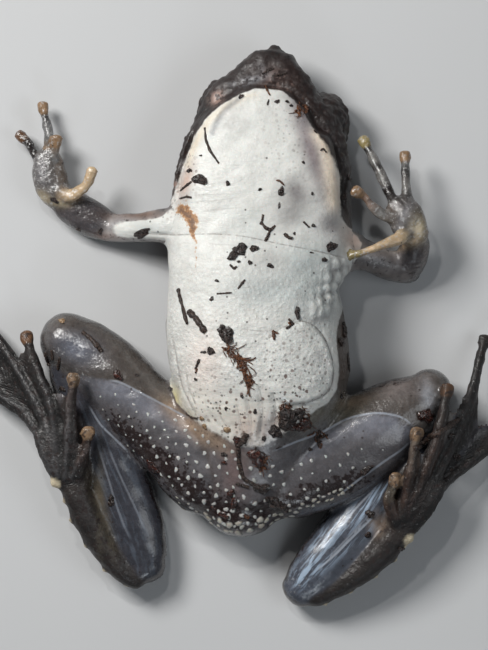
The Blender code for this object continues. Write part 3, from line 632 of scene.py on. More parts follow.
def blendWeight(first, second, reach):
    # how strongly the skin is drawn smooth where two forms meet
    limb = ("upper", "forearm", "palm", "finger"), ("shank", "tarsus", "sole", "toe")
    chain = [set(pair) for row in limb for pair in zip(row, row[1:])]
    table = np.zeros((len(names), len(names)))
    for i, a in enumerate(kinds):
        for j, b in enumerate(kinds):
            pair = {a, b}
            if pair <= {"torso", "skull"} or pair <= {"torso", "jaw"}:
                table[i, j] = 1.0
            elif "torso" in pair:
                table[i, j] = 0.55
            elif pair in ({"toe"}, {"finger"}):
                table[i, j] = 0.05
            elif pair == {"thigh", "shank"}:
                table[i, j] = 0.1
            elif pair in chain and names[i].endswith("Right") == names[j].endswith("Right"):
                table[i, j] = 0.2
    return table[first, second] * (1 - fade(reach, 1.15, 1.6))


edges, _ = edgesOf(tris)
points = relax(points, edges, 4, shrink=False)
first, second, reach, nextReach = nearestForms(points)
weight = blendWeight(first, second, nextReach)
points = relax(points, edges, 50, weight)
points = relax(points, edges, 3, shrink=False)
print("skin: blended")


def thin(points, tris, budget):
    # fewer triangles where the surface is nearly flat
    obj = makeObject("thinning", points * 1000, tris)
    cut = obj.modifiers.new("Thin", "DECIMATE")
    cut.ratio = min(1.0, budget / len(tris))
    slim = bpy.data.meshes.new_from_object(obj.evaluated_get(bpy.context.evaluated_depsgraph_get()))
    bpy.data.objects.remove(obj, do_unlink=True)
    found = readMesh(slim)
    bpy.data.meshes.remove(slim)
    return found


if len(tris) > skinForm["budget"]:
    points, tris = thin(points, tris, skinForm["budget"])
    print("skin: thinned to", len(tris))


def fineZone(points, wide):
    # points near an eye, the gape, a fold or the lobe's edge
    places, near = toMap(points), np.zeros(len(points), bool)
    for place in eyes["middle"].values():
        near |= np.linalg.norm(points - place, axis=1) < eyes["radius"] + 0.5 + 0.5 * wide
    near |= lineDistance(points, mouthPath(), 60)[0] < 0.35 * wide + 0.15
    up = points[:, 2] > 2.5
    for path, width, _, _ in skinMarks["folds"]:
        near |= up & (lineDistance(places, path)[0] < 2.0 * wide + width)
    return near | up & (np.abs(insideDistance(places, skinMarks["lobe"])) < 2.0 * wide)


points, tris = divide(points, tris, fineZone(points, 2.0))
edges, _ = edgesOf(tris)
points = relax(points, edges, 2, shrink=False)
print("skin: divided", len(tris))


def eyeAxes(side):
    # middle of an eye, its line of sight, and the level and upright directions square to that
    look = lastAxis(np.array(eyes["look"][side]))
    level = lastAxis(np.cross((0, 0, 1.0), look))
    return np.array(eyes["middle"][side]), look, level, np.cross(look, level)


def shapeEyes(points):
    # a lid stands on the eyeball; inside the almond opening the skin drops behind the ball
    radius = eyes["radius"]
    for side in ("right", "left"):
        centre, look, level, tall = eyeAxes(side)
        off = points - centre
        gap = np.linalg.norm(off, axis=1)
        ahead, across, height = off @ look > 0, off @ level, off @ tall
        almond = np.sqrt((across / eyes["opening"][0]) ** 2 + (height / eyes["opening"][1]) ** 2)
        opening = (1 - fade(almond, 0.93, 1.05)) * ahead * (gap < radius + 1.55)
        near = (gap < radius + 1.35) & (gap > 1e-6)
        keep = np.where(near, np.maximum(gap, radius + eyes["lidGap"]), gap)
        rim = eyes["lidRim"] * hump(almond, 1.12, 0.1) * ahead * near
        target = keep * (1 - opening) + opening * (radius - eyes["sunk"]) + rim
        moved = centre + off / np.maximum(gap, 1e-6)[:, None] * target[:, None]
        points = np.where(near[:, None], moved, points)
    return points


def ringRelief(gap, rows):
    # relief round a line or spot: a sum of bell curves over the distance from it
    return sum(height * hump(gap, middle, width) for middle, height, width in rows)


def shapeHead(points, normals):
    # gape as a groove, nostrils as pits, eardrums as shallow discs with a raised rim
    push = ringRelief(lineDistance(points, mouthPath(), 80)[0], headMarks["gape"])
    for sign in (-1, 1):
        pit, drum = (np.linalg.norm(points - middle - (sign * apart, 0, 0), axis=1)
                     for middle, apart in (headMarks["nostrils"], headMarks["eardrums"]))
        push += ringRelief(pit, headMarks["nostril"]) + ringRelief(drum, headMarks["eardrum"])
        push -= headMarks["drumDepth"] * (1 - fade(drum, 0.7, 1.1))
    return points + normals * push[:, None]


def shapeMarks(points, normals):
    # folds sink into the upward skin, less toward their ends
    places, up = toMap(points), fade(normals[:, 2], 0.1, 0.4)
    push = np.zeros(len(points))
    for path, width, depth, _ in skinMarks["folds"]:
        gap, share = lineDistance(places, path)
        ends = fade(share, 0, 0.12) * (1 - fade(share, 0.88, 1))
        push -= depth * ends * hump(gap, 0, width)
    return points + normals * (push * up)[:, None]


normals = normalsOf(points, tris)
first, second, reach, nextReach = nearestForms(points)
part = np.array(kinds)[first]
leftSide = np.array([n.endswith("Left") for n in names])[first]


def isPart(*wanted):
    # whether each point lies on one of the named parts
    return np.isin(part, wanted)


def softPart(rounds, *wanted):
    # 1 on the named parts, drawn soft across their borders
    mask = isPart(*wanted).astype(float)
    mask = np.stack([mask] * 3, -1)
    for _ in range(rounds):
        mask = 0.5 * mask + 0.5 * averages(mask, edges)
    return mask[:, 0]


places = toMap(points)
handsFeet = softPart(4, "palm", "finger", "sole", "toe", "tarsus", "forearm")
belly = softPart(6, "torso")
wart = fade(-normals[:, 2], -0.1, 0.5)
fans = [
    # ridges on a sole or palm: its parts, whether on the left side, the root, and a line along every digit
    {"parts": ("sole", "toe"), "left": False, "root": (52, 484), "ridge": 0.10, "lines": [
        [(70, 478), (79, 462), (89, 447)], [(64, 478), (67, 440), (69, 405), (73, 380)],
        [(58, 477), (54, 440), (50, 405), (37, 368)], [(54, 474), (47, 430), (32, 396), (6, 352)],
        [(51, 472), (38, 440), (24, 412), (-4, 394)]]},
    {"parts": ("sole", "toe"), "left": True, "root": (402, 532), "ridge": 0.08, "lines": [
        [(398, 520), (394, 500), (396, 480)], [(402, 518), (408, 480), (416, 434)],
        [(407, 517), (424, 474), (439, 430), (446, 392)], [(411, 518), (436, 478), (464, 415), (484, 345)],
        [(416, 522), (444, 486), (488, 448)]]},
    {"parts": ("palm", "finger"), "left": False, "root": (66, 206), "ridge": 0.03, "lines": [
        [(66, 200), (78, 194), (90, 178)], [(60, 198), (58, 170), (56, 144)],
        [(52, 198), (50, 165), (47, 135), (43, 108)], [(46, 196), (40, 168), (28, 146)]]},
    {"parts": ("palm", "finger"), "left": True, "root": (416, 246), "ridge": 0.03, "lines": [
        [(410, 242), (385, 245), (360, 253)], [(404, 226), (384, 206), (360, 192)],
        [(408, 222), (392, 190), (370, 150)], [(414, 222), (406, 190), (405, 158)]]},
]


def spotMask(x, y, length, width, turn):
    # soft oval on the map: falls off with the square of the distance along and across its axis
    c, s = math.cos(math.radians(turn)), math.sin(math.radians(turn))
    dx, dy = places[:, 0] - x, places[:, 1] - y
    return np.exp(-((dx * c + dy * s) / length) ** 2 - ((dy * c - dx * s) / width) ** 2)


def nearLine(path, width):
    # 1 on a smooth line on the map, falling as a bell curve to its sides
    return hump(lineDistance(places, path)[0], 0, width)


def fanPlaces():
    # over every sole and palm: how far out from the root, how far from the nearest ridge line, and how high
    out, beside = np.zeros(len(points)), np.full(len(points), 9.0)
    on, push = np.zeros(len(points)), np.zeros(len(points))
    for fan in fans:
        mine = (softPart(2, *fan["parts"]) > 0.02) & (leftSide == fan["left"])
        spots = places[mine]
        gap = np.min([lineDistance(spots, line)[0] for line in fan["lines"]], axis=0)
        out[mine] = np.linalg.norm(spots - fan["root"], axis=1)
        beside[mine] = gap
        on[mine] = fade(normals[mine, 2], 0.05, 0.45)
        push[mine] = fan["ridge"] * (hump(gap, 0, 2.6) - 0.6 * hump(gap, 5.5, 2.2))
    return out, beside, on, push * on


beads = {
    # soft oval beads on the left flank, in map steps: place of the first, steps to the next, lean of the rows
    "first": (311, 262),
    "step": (8.0, 10.5),
    "rows": 6,
    "inRow": 6,
    "lean": -2.5,
    "size": (3.8, 5.6),
    "height": 0.42,        # in mm
    # where the beads show: place, half-length, half-width
    "zones": [(318, 308, 11, 15), (340, 272, 11, 14), (330, 290, 11, 18)],
}
unevenness = {
    # height in mm, waves or cells for each mm, seed
    "everywhere": [(waves, 0.045, 2.4, 3), (waves, 0.02, 5.0, 4)],
    "skull": [(lumps, 0.2, 1.2, 9.0), (lumps, 0.07, 2.6, 2.0)],
    "back": [(lumps, 0.10, 0.8, 5.0)],
    "limbs": [(waves, 0.03, 5.0, 6)],
}
# height of the raised lobe in mm, and a rim and a groove at its edge: distance from it, height and width
lobeForm = {"height": 0.1, "rim": (3.5, 0.14, 2.4), "groove": (-0.6, -0.16, 1.8)}


def beadField():
    # long beads in rows on the flank: the highest of the soft ovals at each place
    wild = np.random.default_rng(5)
    best = np.zeros(len(places))
    for i in range(beads["rows"]):
        for j in range(beads["inRow"]):
            x = beads["first"][0] + beads["step"][0] * i + wild.normal(0, 1.2)
            y = beads["first"][1] + beads["step"][1] * j + beads["lean"] * i + wild.normal(0, 1.5)
            off = (places - (x, y)) / beads["size"]
            best = np.maximum(best, np.exp(-(off ** 2).sum(1)))
    return best


streamOut, streamBeside, stream, ridges = fanPlaces()
flankCells = beadField()
flank = sum(spotMask(*zone, 0) for zone in beads["zones"]).clip(0, 1) * fade(normals[:, 2], 0.0, 0.3)
rough = ridges + beads["height"] * flank * flankCells
where = {"everywhere": 1.0, "skull": softPart(3, "skull"), "back": wart * (1 - handsFeet), "limbs": handsFeet}
for zone, layers in unevenness.items():
    for pattern, height, scale, seed in layers:
        rough = rough + height * where[zone] * pattern(points, scale, seed)
lobe = insideDistance(places, skinMarks["lobe"])
rough = rough + fade(normals[:, 2], 0.2, 0.6) * belly * (
    lobeForm["height"] * fade(lobe, 0, 14)
    + ringRelief(lobe, [lobeForm["rim"]]) * fade(places[:, 0], 270, 300)
    + ringRelief(lobe, [lobeForm["groove"]]) * fade(places[:, 0], 256, 296))
points = points + normals * rough[:, None]
points = shapeHead(points, normals)
points = shapeMarks(points, normals)
points = shapeEyes(points)
points[:, 2] = np.maximum(points[:, 2], 0.0)
print("skin: shaped", len(points), "points", len(tris), "triangles")

skin = makeObject("skin", points, tris)
normals = normalsOf(points, tris)
skinTree = BVHTree.FromPolygons(points.tolist(), tris.tolist())

tones = {
    # red, green and blue of each zone, 0 to 255
    "back": (64, 50, 41),
    "nearBlack": (20, 16, 16),
    "snout": (44, 37, 36),
    # painted highlight: the light grey streaks along the top of the snout
    "snoutPale": (150, 150, 154),
    "snoutWarm": (112, 92, 86),
    "pinkSkin": (184, 154, 142),
    "upperArm": (170, 166, 165),
    "upperArmLeft": (122, 116, 114),
    "armEdge": (104, 80, 66),
    "forearm": (80, 76, 78),
    "palm": (88, 84, 82),
    "palmTan": (112, 100, 90),
    "palmDusk": (50, 46, 46),
    # silvery skin with painted glints on it, on palms, arms, soles and shanks
    "silver": (136, 136, 140),
    "heelPale": (190, 176, 148),
    "heelEdge": (84, 62, 44),
    "fingerPale": (108, 108, 108),
    "fingerMilk": (128, 126, 123),
    "fingerDark": (40, 35, 34),
    "fingerWarm": (140, 112, 94),
    "thumb": (192, 168, 136),
    "disc": (140, 113, 86),
    "discDark": (98, 68, 44),
    "discOlive": (144, 130, 88),
    "thigh": (98, 96, 99),
    "thighFront": (84, 78, 74),
    "thighHaze": (126, 128, 138),
    "thighShade": (58, 56, 60),
    "thighDusk": (70, 60, 58),
    "thighPink": (120, 102, 100),
    "thighRim": (38, 33, 31),
    "knee": (100, 104, 116),
    # painted highlight on the knee
    "kneeBright": (160, 162, 168),
    "thighPale": (122, 114, 112),
    "shank": (62, 63, 70),
    "shankLow": (80, 84, 94),
    "shankTan": (92, 84, 70),
    "shankEdge": (40, 33, 31),
    "tarsus": (27, 21, 19),
    "foot": (17, 14, 14),
    "soleGrey": (66, 62, 62),
    "soleBrown": (56, 38, 30),
    "webBlack": (14, 12, 12),
    "webBrown": (34, 28, 25),
    "groinTan": (172, 148, 126),
    "groinGreen": (108, 105, 94),
    "groinDark": (42, 38, 36),
    "rumpDark": (44, 31, 30),
    "paleLine": (164, 170, 180),
    # the blue-white of the painted highlights on the shanks
    "streak": (168, 186, 206),
    "tubercle": (198, 186, 160),
    "brownStain": (184, 130, 70),
    # the white underside
    "white": (229, 230, 226),
    "blueWhite": (180, 190, 190),
    "pinkWhite": (242, 228, 219),
    "warmWhite": (248, 241, 229),
    # painted shade along the frog's left side of the throat and belly
    "mauve": (142, 132, 135),
    "shadowGrey": (118, 113, 114),
    "lobeGrey": (238, 240, 236),
    "lip": (228, 218, 200),
    # the lip on the frog's left, painted brighter than the same lip on its right to offset the shade on that
    # side
    "lipBright": (252, 236, 216),
    "lipPink": (206, 178, 164),
    # painted shade in the groove inside the lip
    "lipGroove": (138, 141, 146),
    "yellow": (206, 194, 134),
}


def colour(name):
    # display values to linear light
    v = np.array(tones[name]) / 255.0
    return np.where(v <= 0.04045, v / 12.92, ((v + 0.055) / 1.055) ** 2.4)


whiteEdge = [
    (268, 89), (282, 92), (294, 100), (303, 113), (312, 127), (323, 142), (333, 158), (339, 173),
    (341, 190), (340, 204), (340, 216), (346, 224), (356, 234), (362, 244), (358, 256), (350, 268),
    (348, 286), (345, 302), (340, 318), (336, 332), (337, 350), (339, 370), (337, 388), (328, 402),
    (310, 413), (292, 426), (276, 438), (260, 446), (240, 446), (222, 436), (204, 426), (190, 416),
    (177, 402), (170, 386), (167, 350), (166, 310), (167, 270), (164, 252), (150, 240), (132, 238),
    (117, 236), (112, 228), (120, 222), (146, 220), (162, 217), (171, 206), (175, 194), (180, 176),
    (186, 157), (194, 138), (206, 119), (222, 105), (239, 95), (255, 89),
]
# tone, place on the map, half-length, half-width, turn in degrees, strength
softSpots = [
    ("snoutWarm", 284, 82, 26, 13, 14, 0.85), ("soleBrown", 302, 102, 16, 8, 55, 0.8),
    # painted highlight: two light grey streaks along the snout
    ("snoutPale", 249, 81, 15, 3.5, -12, 1.0), ("snoutPale", 262, 70, 7, 4, 60, 0.4),
    ("nearBlack", 310, 86, 30, 10, 52, 0.9), ("nearBlack", 276, 52, 16, 5, 0, 0.7),
    ("nearBlack", 205, 107, 13, 7, -62, 1.0), ("nearBlack", 343, 116, 20, 9, 70, 0.95),
    ("nearBlack", 342, 180, 50, 6, 88, 0.8), ("nearBlack", 242, 68, 5, 5, 0, 0.9),
    ("pinkSkin", 217, 98, 7, 5, -48, 1.0), ("pinkSkin", 189, 166, 8, 4, -70, 0.7),
    # the silver spots: silvery skin of palms and upper arms with painted glints on it
    ("pinkSkin", 178, 186, 7, 4, -70, 0.6), ("silver", 40, 172, 18, 7, 80, 0.45),
    ("palmTan", 61, 164, 26, 6, 88, 0.8), ("heelPale", 42, 198, 8, 6, 40, 0.9),
    ("heelPale", 60, 203, 9, 4, 0, 0.9), ("thumb", 70, 197, 9, 6, -20, 0.8),
    ("silver", 404, 216, 16, 5, -60, 0.6), ("palmDusk", 394, 196, 9, 9, 0, 0.9),
    ("palmTan", 385, 214, 10, 12, 0, 0.7), ("heelPale", 420, 228, 9, 12, 0, 1.0),
    ("thumb", 406, 244, 14, 5, -14, 0.9), ("heelEdge", 430, 232, 3.5, 15, 0, 1.0),
    ("silver", 378, 262, 18, 5, 16, 0.7), ("armEdge", 138, 214, 30, 6, -2, 1.0),
    ("pinkSkin", 106, 238, 16, 5, 0, 0.5), ("nearBlack", 166, 205, 12, 5, -40, 0.9),
    ("silver", 124, 225, 12, 8, 0, 0.6), ("nearBlack", 366, 240, 14, 4, 40, 0.8),
    ("forearm", 404, 264, 14, 12, 0, 0.8), ("heelEdge", 431, 268, 6, 24, 0, 1.0),
    ("shankEdge", 435, 262, 5, 22, 0, 1.0), ("groinTan", 203, 433, 36, 9, 31, 0.95),
    ("groinTan", 170, 407, 12, 7, 45, 0.6), ("groinGreen", 318, 412, 36, 13, -30, 0.95),
    ("groinDark", 346, 388, 10, 9, 0, 0.3), ("groinGreen", 344, 410, 20, 10, -20, 1.0),
    ("groinTan", 352, 402, 16, 6, -20, 0.4), ("thighPink", 234, 472, 14, 26, 0, 0.8),
    ("thighDusk", 158, 458, 52, 13, 42, 0.7), ("thighDusk", 300, 494, 50, 9, -14, 0.6),
    ("rumpDark", 224, 510, 40, 13, 14, 0.9), ("rumpDark", 268, 516, 34, 10, -14, 0.85),
    # painted highlight: the bright spot on the frog's left knee
    ("knee", 76, 348, 24, 15, 24, 0.9), ("kneeBright", 427, 395, 7, 15, -10, 0.9),
    ("thighPale", 402, 388, 22, 11, -14, 0.75), ("thighShade", 352, 462, 40, 10, -18, 0.5),
    ("thighFront", 68, 322, 18, 7, 0, 0.7), ("shankTan", 100, 505, 4, 50, 0, 0.7),
    # painted highlight: the soleGrey streak along the outer edge of the right sole
    ("groinTan", 378, 525, 8, 10, 0, 0.7), ("soleGrey", 48, 450, 36, 10, 72, 0.3),
    ("shankTan", 94, 488, 7, 24, -18, 0.8), ("shankTan", 108, 532, 5, 28, -14, 0.7),
    ("soleBrown", 78, 440, 34, 8, 80, 0.9), ("webBlack", 12, 374, 30, 18, 0, 0.9),
    ("webBrown", 36, 354, 14, 10, 0, 0.6), ("webBrown", 474, 434, 18, 16, 0, 0.85),
    ("soleBrown", 404, 492, 16, 24, 0, 0.8), ("soleGrey", 386, 510, 6, 34, 0, 0.4),
    ("soleGrey", 122, 570, 14, 8, 40, 0.4), ("soleGrey", 84, 505, 6, 24, -20, 0.4),
]
# painted shade: the mauve and shadowGrey spots on the throat and belly, one of them the shadow of a crumb on
# the throat
underSpots = [
    ("blueWhite", 262, 290, 36, 16, 0, 0.7), ("blueWhite", 304, 262, 26, 20, 0, 0.6),
    ("blueWhite", 318, 296, 26, 34, 0, 0.75), ("blueWhite", 250, 232, 20, 20, 0, 0.3),
    ("pinkWhite", 204, 362, 18, 32, 0, 0.75), ("warmWhite", 236, 418, 38, 22, 0, 0.8),
    ("warmWhite", 200, 402, 16, 22, -20, 0.5), ("mauve", 312, 152, 56, 11, 72, 1.0),
    ("mauve", 306, 112, 18, 12, 50, 0.8), ("shadowGrey", 296, 193, 16, 12, 60, 0.9),
    ("shadowGrey", 288, 214, 16, 14, 0, 0.6), ("shadowGrey", 268, 262, 12, 10, 0, 0.32),
    ("shadowGrey", 258, 288, 16, 12, 0, 0.2), ("shadowGrey", 232, 122, 14, 8, -50, 0.25),
    ("lipPink", 186, 182, 18, 6, -72, 0.9), ("mauve", 330, 226, 14, 10, 40, 0.6),
    ("lipPink", 354, 240, 10, 14, -30, 0.8), ("blueWhite", 150, 228, 22, 8, 0, 0.4),
    ("mauve", 346, 362, 44, 7, 90, 0.9), ("shadowGrey", 186, 200, 5, 12, 20, 0.4),
    ("warmWhite", 286, 388, 22, 12, 0, 0.4), ("mauve", 266, 430, 10, 18, 0, 0.6),
    ("lipPink", 246, 430, 12, 16, 0, 0.55), ("lipPink", 282, 422, 14, 9, -30, 0.5),
]
# tones of each digit from its root to its neck, evenly spaced, and last the tone of its disc
digitTones = {
    "finger1Right": ("palmTan", "thumb", "thumb", "thumb"),
    "finger2Right": ("palm", "fingerPale", "palmTan", "disc"),
    "finger3Right": ("palmTan", "disc", "fingerPale", "fingerPale", "fingerDark", "disc"),
    "finger4Right": ("palmDusk", "fingerDark", "fingerDark", "discDark"),
    "finger1Left": ("heelPale", "thumb", "thumb", "thumb", "discOlive"),
    "finger2Left": ("palmTan", "fingerMilk", "fingerWarm", "disc"),
    "finger3Left": ("palmDusk", "fingerDark", "fingerDark", "fingerMilk", "fingerDark", "fingerMilk",
                    "fingerDark", "discOlive"),
    # the milky band on this finger is a painted highlight
    "finger4Left": ("palmDusk", "fingerDark", "fingerMilk", "fingerDark", "fingerPale", "disc"),
    "toe1Right": ("foot", "soleBrown", "soleBrown", "disc"),
    "toe2Right": ("foot", "soleGrey", "soleBrown", "disc"),
    "toe1Left": ("soleBrown", "soleBrown", "shankTan", "disc"),
    "toe2Left": ("soleBrown", "soleBrown", "palmTan", "disc"),
    "toe3Left": ("foot", "soleBrown", "webBrown", "discDark"),
    "toe3Right": ("foot", "foot", "webBrown", "discDark"),
}
maskSpots = {
    # where a mask is stronger: place on the map, half-length, half-width, turn in degrees, strength
    "mottleFront": [(392, 377, 30, 7, -14, 0.9)],
    "mottleHead": [(300, 96, 30, 12, 50, 0.6)],
    # painted glints: small pale flecks where light catches the wet skin of arms, knees and tarsus
    "fleck": [
        (376, 262, 20, 8, 16, 0.9), (124, 226, 18, 9, 0, 0.7), (58, 352, 12, 14, 0, 0.8),
        (84, 376, 12, 8, 40, 0.8), (301, 580, 16, 22, 30, 0.6),
    ],
    # painted glints on the snout's painted highlight
    "fleckHead": [(250, 79, 16, 8, 0, 0.25)],
    "speck": [(286, 388, 34, 18, 10, 0.9), (190, 165, 8, 30, -20, 0.7), (236, 412, 44, 30, 0, 0.9),
              (160, 216, 12, 5, 0, 0.8), (230, 390, 40, 40, 0, 0.3), (176, 196, 12, 12, 0, 0.5),
              (290, 140, 30, 50, 0, 0.35)],
    "dry": [(356, 557, 34, 9, -48, 0.9)],
    "softEdge": [(330, 150, 60, 16, 80, 5.0)],      # wider border of the white patch, in map steps
    "yellow": [(175, 398, 6, 13, -12, 0.9), (188, 415, 9, 6, 30, 0.35)],
}
maskLines = {
    # lines on the map that a mask follows, and their half-width
    # painted highlight streaks down the shanks, over their silvery sheath
    "silver": ([(383, 490), (354, 518), (329, 536), (300, 580)], 10),
    "silverLow": ([(370, 528), (345, 550), (316, 574)], 5),
    "lipLeft": ([(319, 134), (325, 146), (329, 164), (332, 186), (334, 204)], 7.5),
    # painted shade in the groove inside the lip
    "lipGroove": ([(241, 98), (229, 107), (219, 119), (212, 134)], 3.0),
    # dark blotches between the granules toward the rump and along the hind edge of each thigh
    "rumpRight": ([(114, 428), (132, 442), (160, 466), (200, 496), (238, 518)], 22),
    "rumpLeft": ([(238, 518), (280, 506), (330, 488), (360, 478)], 15),
}
# front edge of the granular skin on each thigh
thighEdge = {
    "right": ([60, 108, 122, 145, 170, 190], [372, 380, 383, 395, 408, 419]),
    "left": ([270, 300, 324, 338, 352, 376, 394, 404, 430], [452, 440, 431, 423, 417, 413, 415, 422, 440]),
}
# brown stain down the right side of the breast: its line, and half-width and strength at shares of its length
stain = {
    "line": [(182, 210), (190, 217), (193, 226), (192, 234), (196, 243), (196, 258), (197, 280)],
    "width": ([0, 0.25, 0.45, 0.6, 1.0], [6.5, 7.5, 3.6, 1.8, 1.0]),
    "strength": ([0, 0.5, 1], [1.0, 0.9, 0.35]),
}


def ovals(name):
    # a mask's soft ovals added up
    return sum(strength * spotMask(*place) for *place, strength in maskSpots[name])


def steep(low, high):
    # 1 where the skin slopes away from straight up, by the height of its direction
    return 1 - fade(normals[:, 2], low, high)


def layTone(layer, mask, name):
    # mixes a tone into a layer of colours by the mask
    layer[:] = layer * (1 - mask[:, None]) + colour(name) * mask[:, None]


def paintDigits(tone):
    # every digit blends its tones along its length, and its disc takes the last one
    for i, form in enumerate(forms):
        mine = first == i
        if kinds[i] not in ("finger", "toe") or not mine.any():
            continue
        steps = np.linalg.norm(np.diff(form.middle, axis=0), axis=1)
        gone = np.concatenate([[0], np.cumsum(steps)])
        share = form.measure(points[mine])[1]
        toTip = gone[-1] - np.interp(share, np.linspace(0, 1, len(gone)), gone)
        disc = 1 - fade(toTip, 0.75, 1.05)
        used = digitTones.get(form.name, ("foot", "foot", "webBrown"))
        stops = np.array([colour(name) for name in used[:-1]])
        t = np.clip(1 - (toTip - 1.0) / max(gone[-1] - 1.0, 0.1), 0, 1)
        along = np.stack([np.interp(t, np.linspace(0, 1, len(stops)), stops[:, k]) for k in range(3)], -1)
        root = (fade(t, 0.05, 0.3) * (1 - disc))[:, None]
        mixed = tone[mine] * (1 - root) + along * root
        tone[mine] = mixed * (1 - disc[:, None]) + colour(used[-1]) * disc[:, None]


def paintSkin():
    # lays the zones over each other: tones of the dark skin and of the white underside, and the masks
    up, high = fade(normals[:, 2], -0.2, 0.35), fade(normals[:, 2], 0.0, 0.4)
    tone = np.tile(colour("back"), (len(points), 1))
    under = np.tile(colour("white"), (len(points), 1))
    x, y = places.T
    thigh, shank = softPart(5, "thigh"), softPart(3, "shank")
    tarsus, foot = softPart(3, "tarsus"), softPart(3, "sole", "toe")
    fore, palm, upper = softPart(6, "forearm"), softPart(3, "palm", "finger"), softPart(10, "upper")
    torso, skull = softPart(6, "torso"), softPart(6, "skull", "jaw")
    rump = torso * fade(y, 372, 404)

    # the white patch ends softly along the right of the head and on the arms, and sharply elsewhere
    inside = insideDistance(places, whiteEdge)
    soft = 3.0 + ovals("softEdge") + 5.0 * fade(y, 404, 436) + 6.0 * (1 - fade(x, 112, 130))
    body = isPart("torso", "jaw", "skull")
    pale = np.where(body, fade(normals[:, 2], -0.25, 0.15), upper * fade(normals[:, 2], 0.1, 0.75))
    pale = fade(inside, -soft, soft) * pale

    below = y - np.where(x > 240, np.interp(x, *thighEdge["left"]), np.interp(x, *thighEdge["right"]))
    front = (1 - fade(below, -1.5, 1.5)) * thigh
    haze = thigh * high * fade(below, -1, 3) * (1 - fade(below, 8, 30)) * fade(x, 70, 120)
    for mask, name in (
            (skull * up, "snout"), (np.maximum(thigh, rump) * high, "thigh"), (front * up, "thighFront"),
            (haze * 0.8, "thighHaze"), (thigh * up * steep(0.3, 0.62) * (1 - fade(y, 420, 450)), "thighRim"),
            (shank * high, "shank"), (shank * leftSide * high, "shankLow"),
            (shank * up * steep(0.3, 0.65) * 0.9, "shankEdge"), (tarsus, "tarsus"), (foot, "foot"),
            (fore * up, "forearm"), (palm * up, "palm"), (upper * up, "upperArm"),
            (upper * up * leftSide, "upperArmLeft")):
        layTone(tone, mask, name)
    digits = isPart("finger", "toe")
    for name, *place, strength in softSpots:
        layTone(tone, spotMask(*place) * strength * up * (1 - digits * 0.6), name)
    layTone(tone, fore * steep(0.2, 0.6) * 0.85, "shankEdge")
    paintDigits(tone)
    # painted glints along the ridges of the right sole, and painted shade in the grooves beside the ridges of
    # both soles
    layTone(tone, stream * foot * 0.16 * hump(streamBeside, 0, 1.8) * (1 - leftSide), "silver")
    layTone(tone, stream * foot * 0.6 * hump(streamBeside, 5, 2.4), "webBlack")

    for name, *place, strength in underSpots:
        layTone(under, spotMask(*place) * strength, name)
    rightRim = hump(inside, 4, 4.0) * (x < 262) * (y < 168) * fade(y, 88, 100)
    for mask, name in (
            (fade(lobe, -1, 6) * 0.6, "lobeGrey"),
            # painted shade in the valleys between the flank beads, and a painted highlight of white on their
            # tops
            (flank * (1 - fade(flankCells, 0.2, 0.6)) * 0.75, "shadowGrey"),
            (flank * fade(flankCells, 0.5, 0.9) * 0.8, "white"), (rightRim * 0.9, "lip"),
            # painted light: the lip on the frog's left is brightened to offset the shade there
            (nearLine(*maskLines["lipLeft"]), "lipBright"),
            # painted shade in the groove inside the lip
            (nearLine(*maskLines["lipGroove"]) * 0.7, "lipGroove"), (ovals("yellow").clip(0, 1), "yellow")):
        layTone(under, mask, name)

    hind = 0.05 + 0.95 * np.maximum(nearLine(*maskLines["rumpRight"]), nearLine(*maskLines["rumpLeft"]))
    hind = hind * np.maximum(thigh, rump) * (1 - front)
    gap, share = lineDistance(places, stain["line"])
    stained = hump(gap, 0, np.interp(share, *stain["width"])) * np.interp(share, *stain["strength"])
    masks = {
        "mottle": (0.45 * (1 - up) + front * (0.2 + ovals("mottleFront")) + hind + 0.6 * foot + 0.6 * tarsus
                   + skull * (0.7 + ovals("mottleHead")) + 0.9 * shank * up * steep(0.45, 0.8)
                   + 0.5 * upper + 0.35 * fore),
        # painted glints on palms, soles, tarsi, forearms, knees and arms
        "fleck": (stream * (0.7 * palm + 0.3 * foot) + 0.15 * tarsus * up + 0.25 * fore * up + ovals("fleck")
                  + skull * ovals("fleckHead")),
        # painted highlight along the shanks over their silvery sheath, also on the tops of the right shank
        "silver": shank * up * (nearLine(*maskLines["silver"]) + 0.5 * nearLine(*maskLines["silverLow"])
                                + 0.1 * (1 - leftSide) * fade(normals[:, 2], 0.6, 0.9)),
        "speck": 0.5 * (lobe > 0) + ovals("speck"),
        "grain": torso * fade(y, 245, 300) * 0.8 + 0.3 * torso + 0.1,
        "hide": handsFeet * 0.8 + wart * 0.8 + front * 0.4 + skull * 0.4 + 0.15,
        "wet": thigh + shank + fore + palm + 0.2 * foot + 0.1 * tarsus + rump + 0.3 * (1 - pale),
        "matte": tarsus + 0.6 * foot + 0.2 * skull * (1 - pale),
    }
    masks = {name: values.clip(0, 1) for name, values in masks.items()}
    masks["grain"] = masks["grain"] * (1 - thigh) * (1 - shank) * (1 - rump)
    masks["wet"] = masks["wet"] * (1 - ovals("dry")) * (1 - 0.6 * foot) * (1 - 0.5 * skull)
    masks.update(pale=pale, stain=stained * fade(normals[:, 2], 0, 0.3), tubercle=tubercleMask(),
                 streamOut=streamOut, streamBeside=streamBeside, stream=stream * foot)
    masks["lineSide"], masks["lineStrength"] = signedLines(skinMarks["paleLines"], up, 3.4)
    # painted shade along the folds and along the upper edge of the lobe
    creases = [(path, dark) for path, _, _, dark in skinMarks["folds"] if dark]
    creases.append((skinMarks["lobe"][:10], 0.75))
    masks["creaseSide"], masks["creaseDark"] = signedLines(creases, up, 2.6)
    masks["streakAcross"], masks["streakAlong"] = np.zeros(len(points)), np.zeros(len(points))
    for i, form in enumerate(forms):
        if kinds[i] == "shank":
            _, share, across = form.measure(points[first == i])
            masks["streakAcross"][first == i], masks["streakAlong"][first == i] = across * 2.6, share * 2.2
    return tone, under, masks


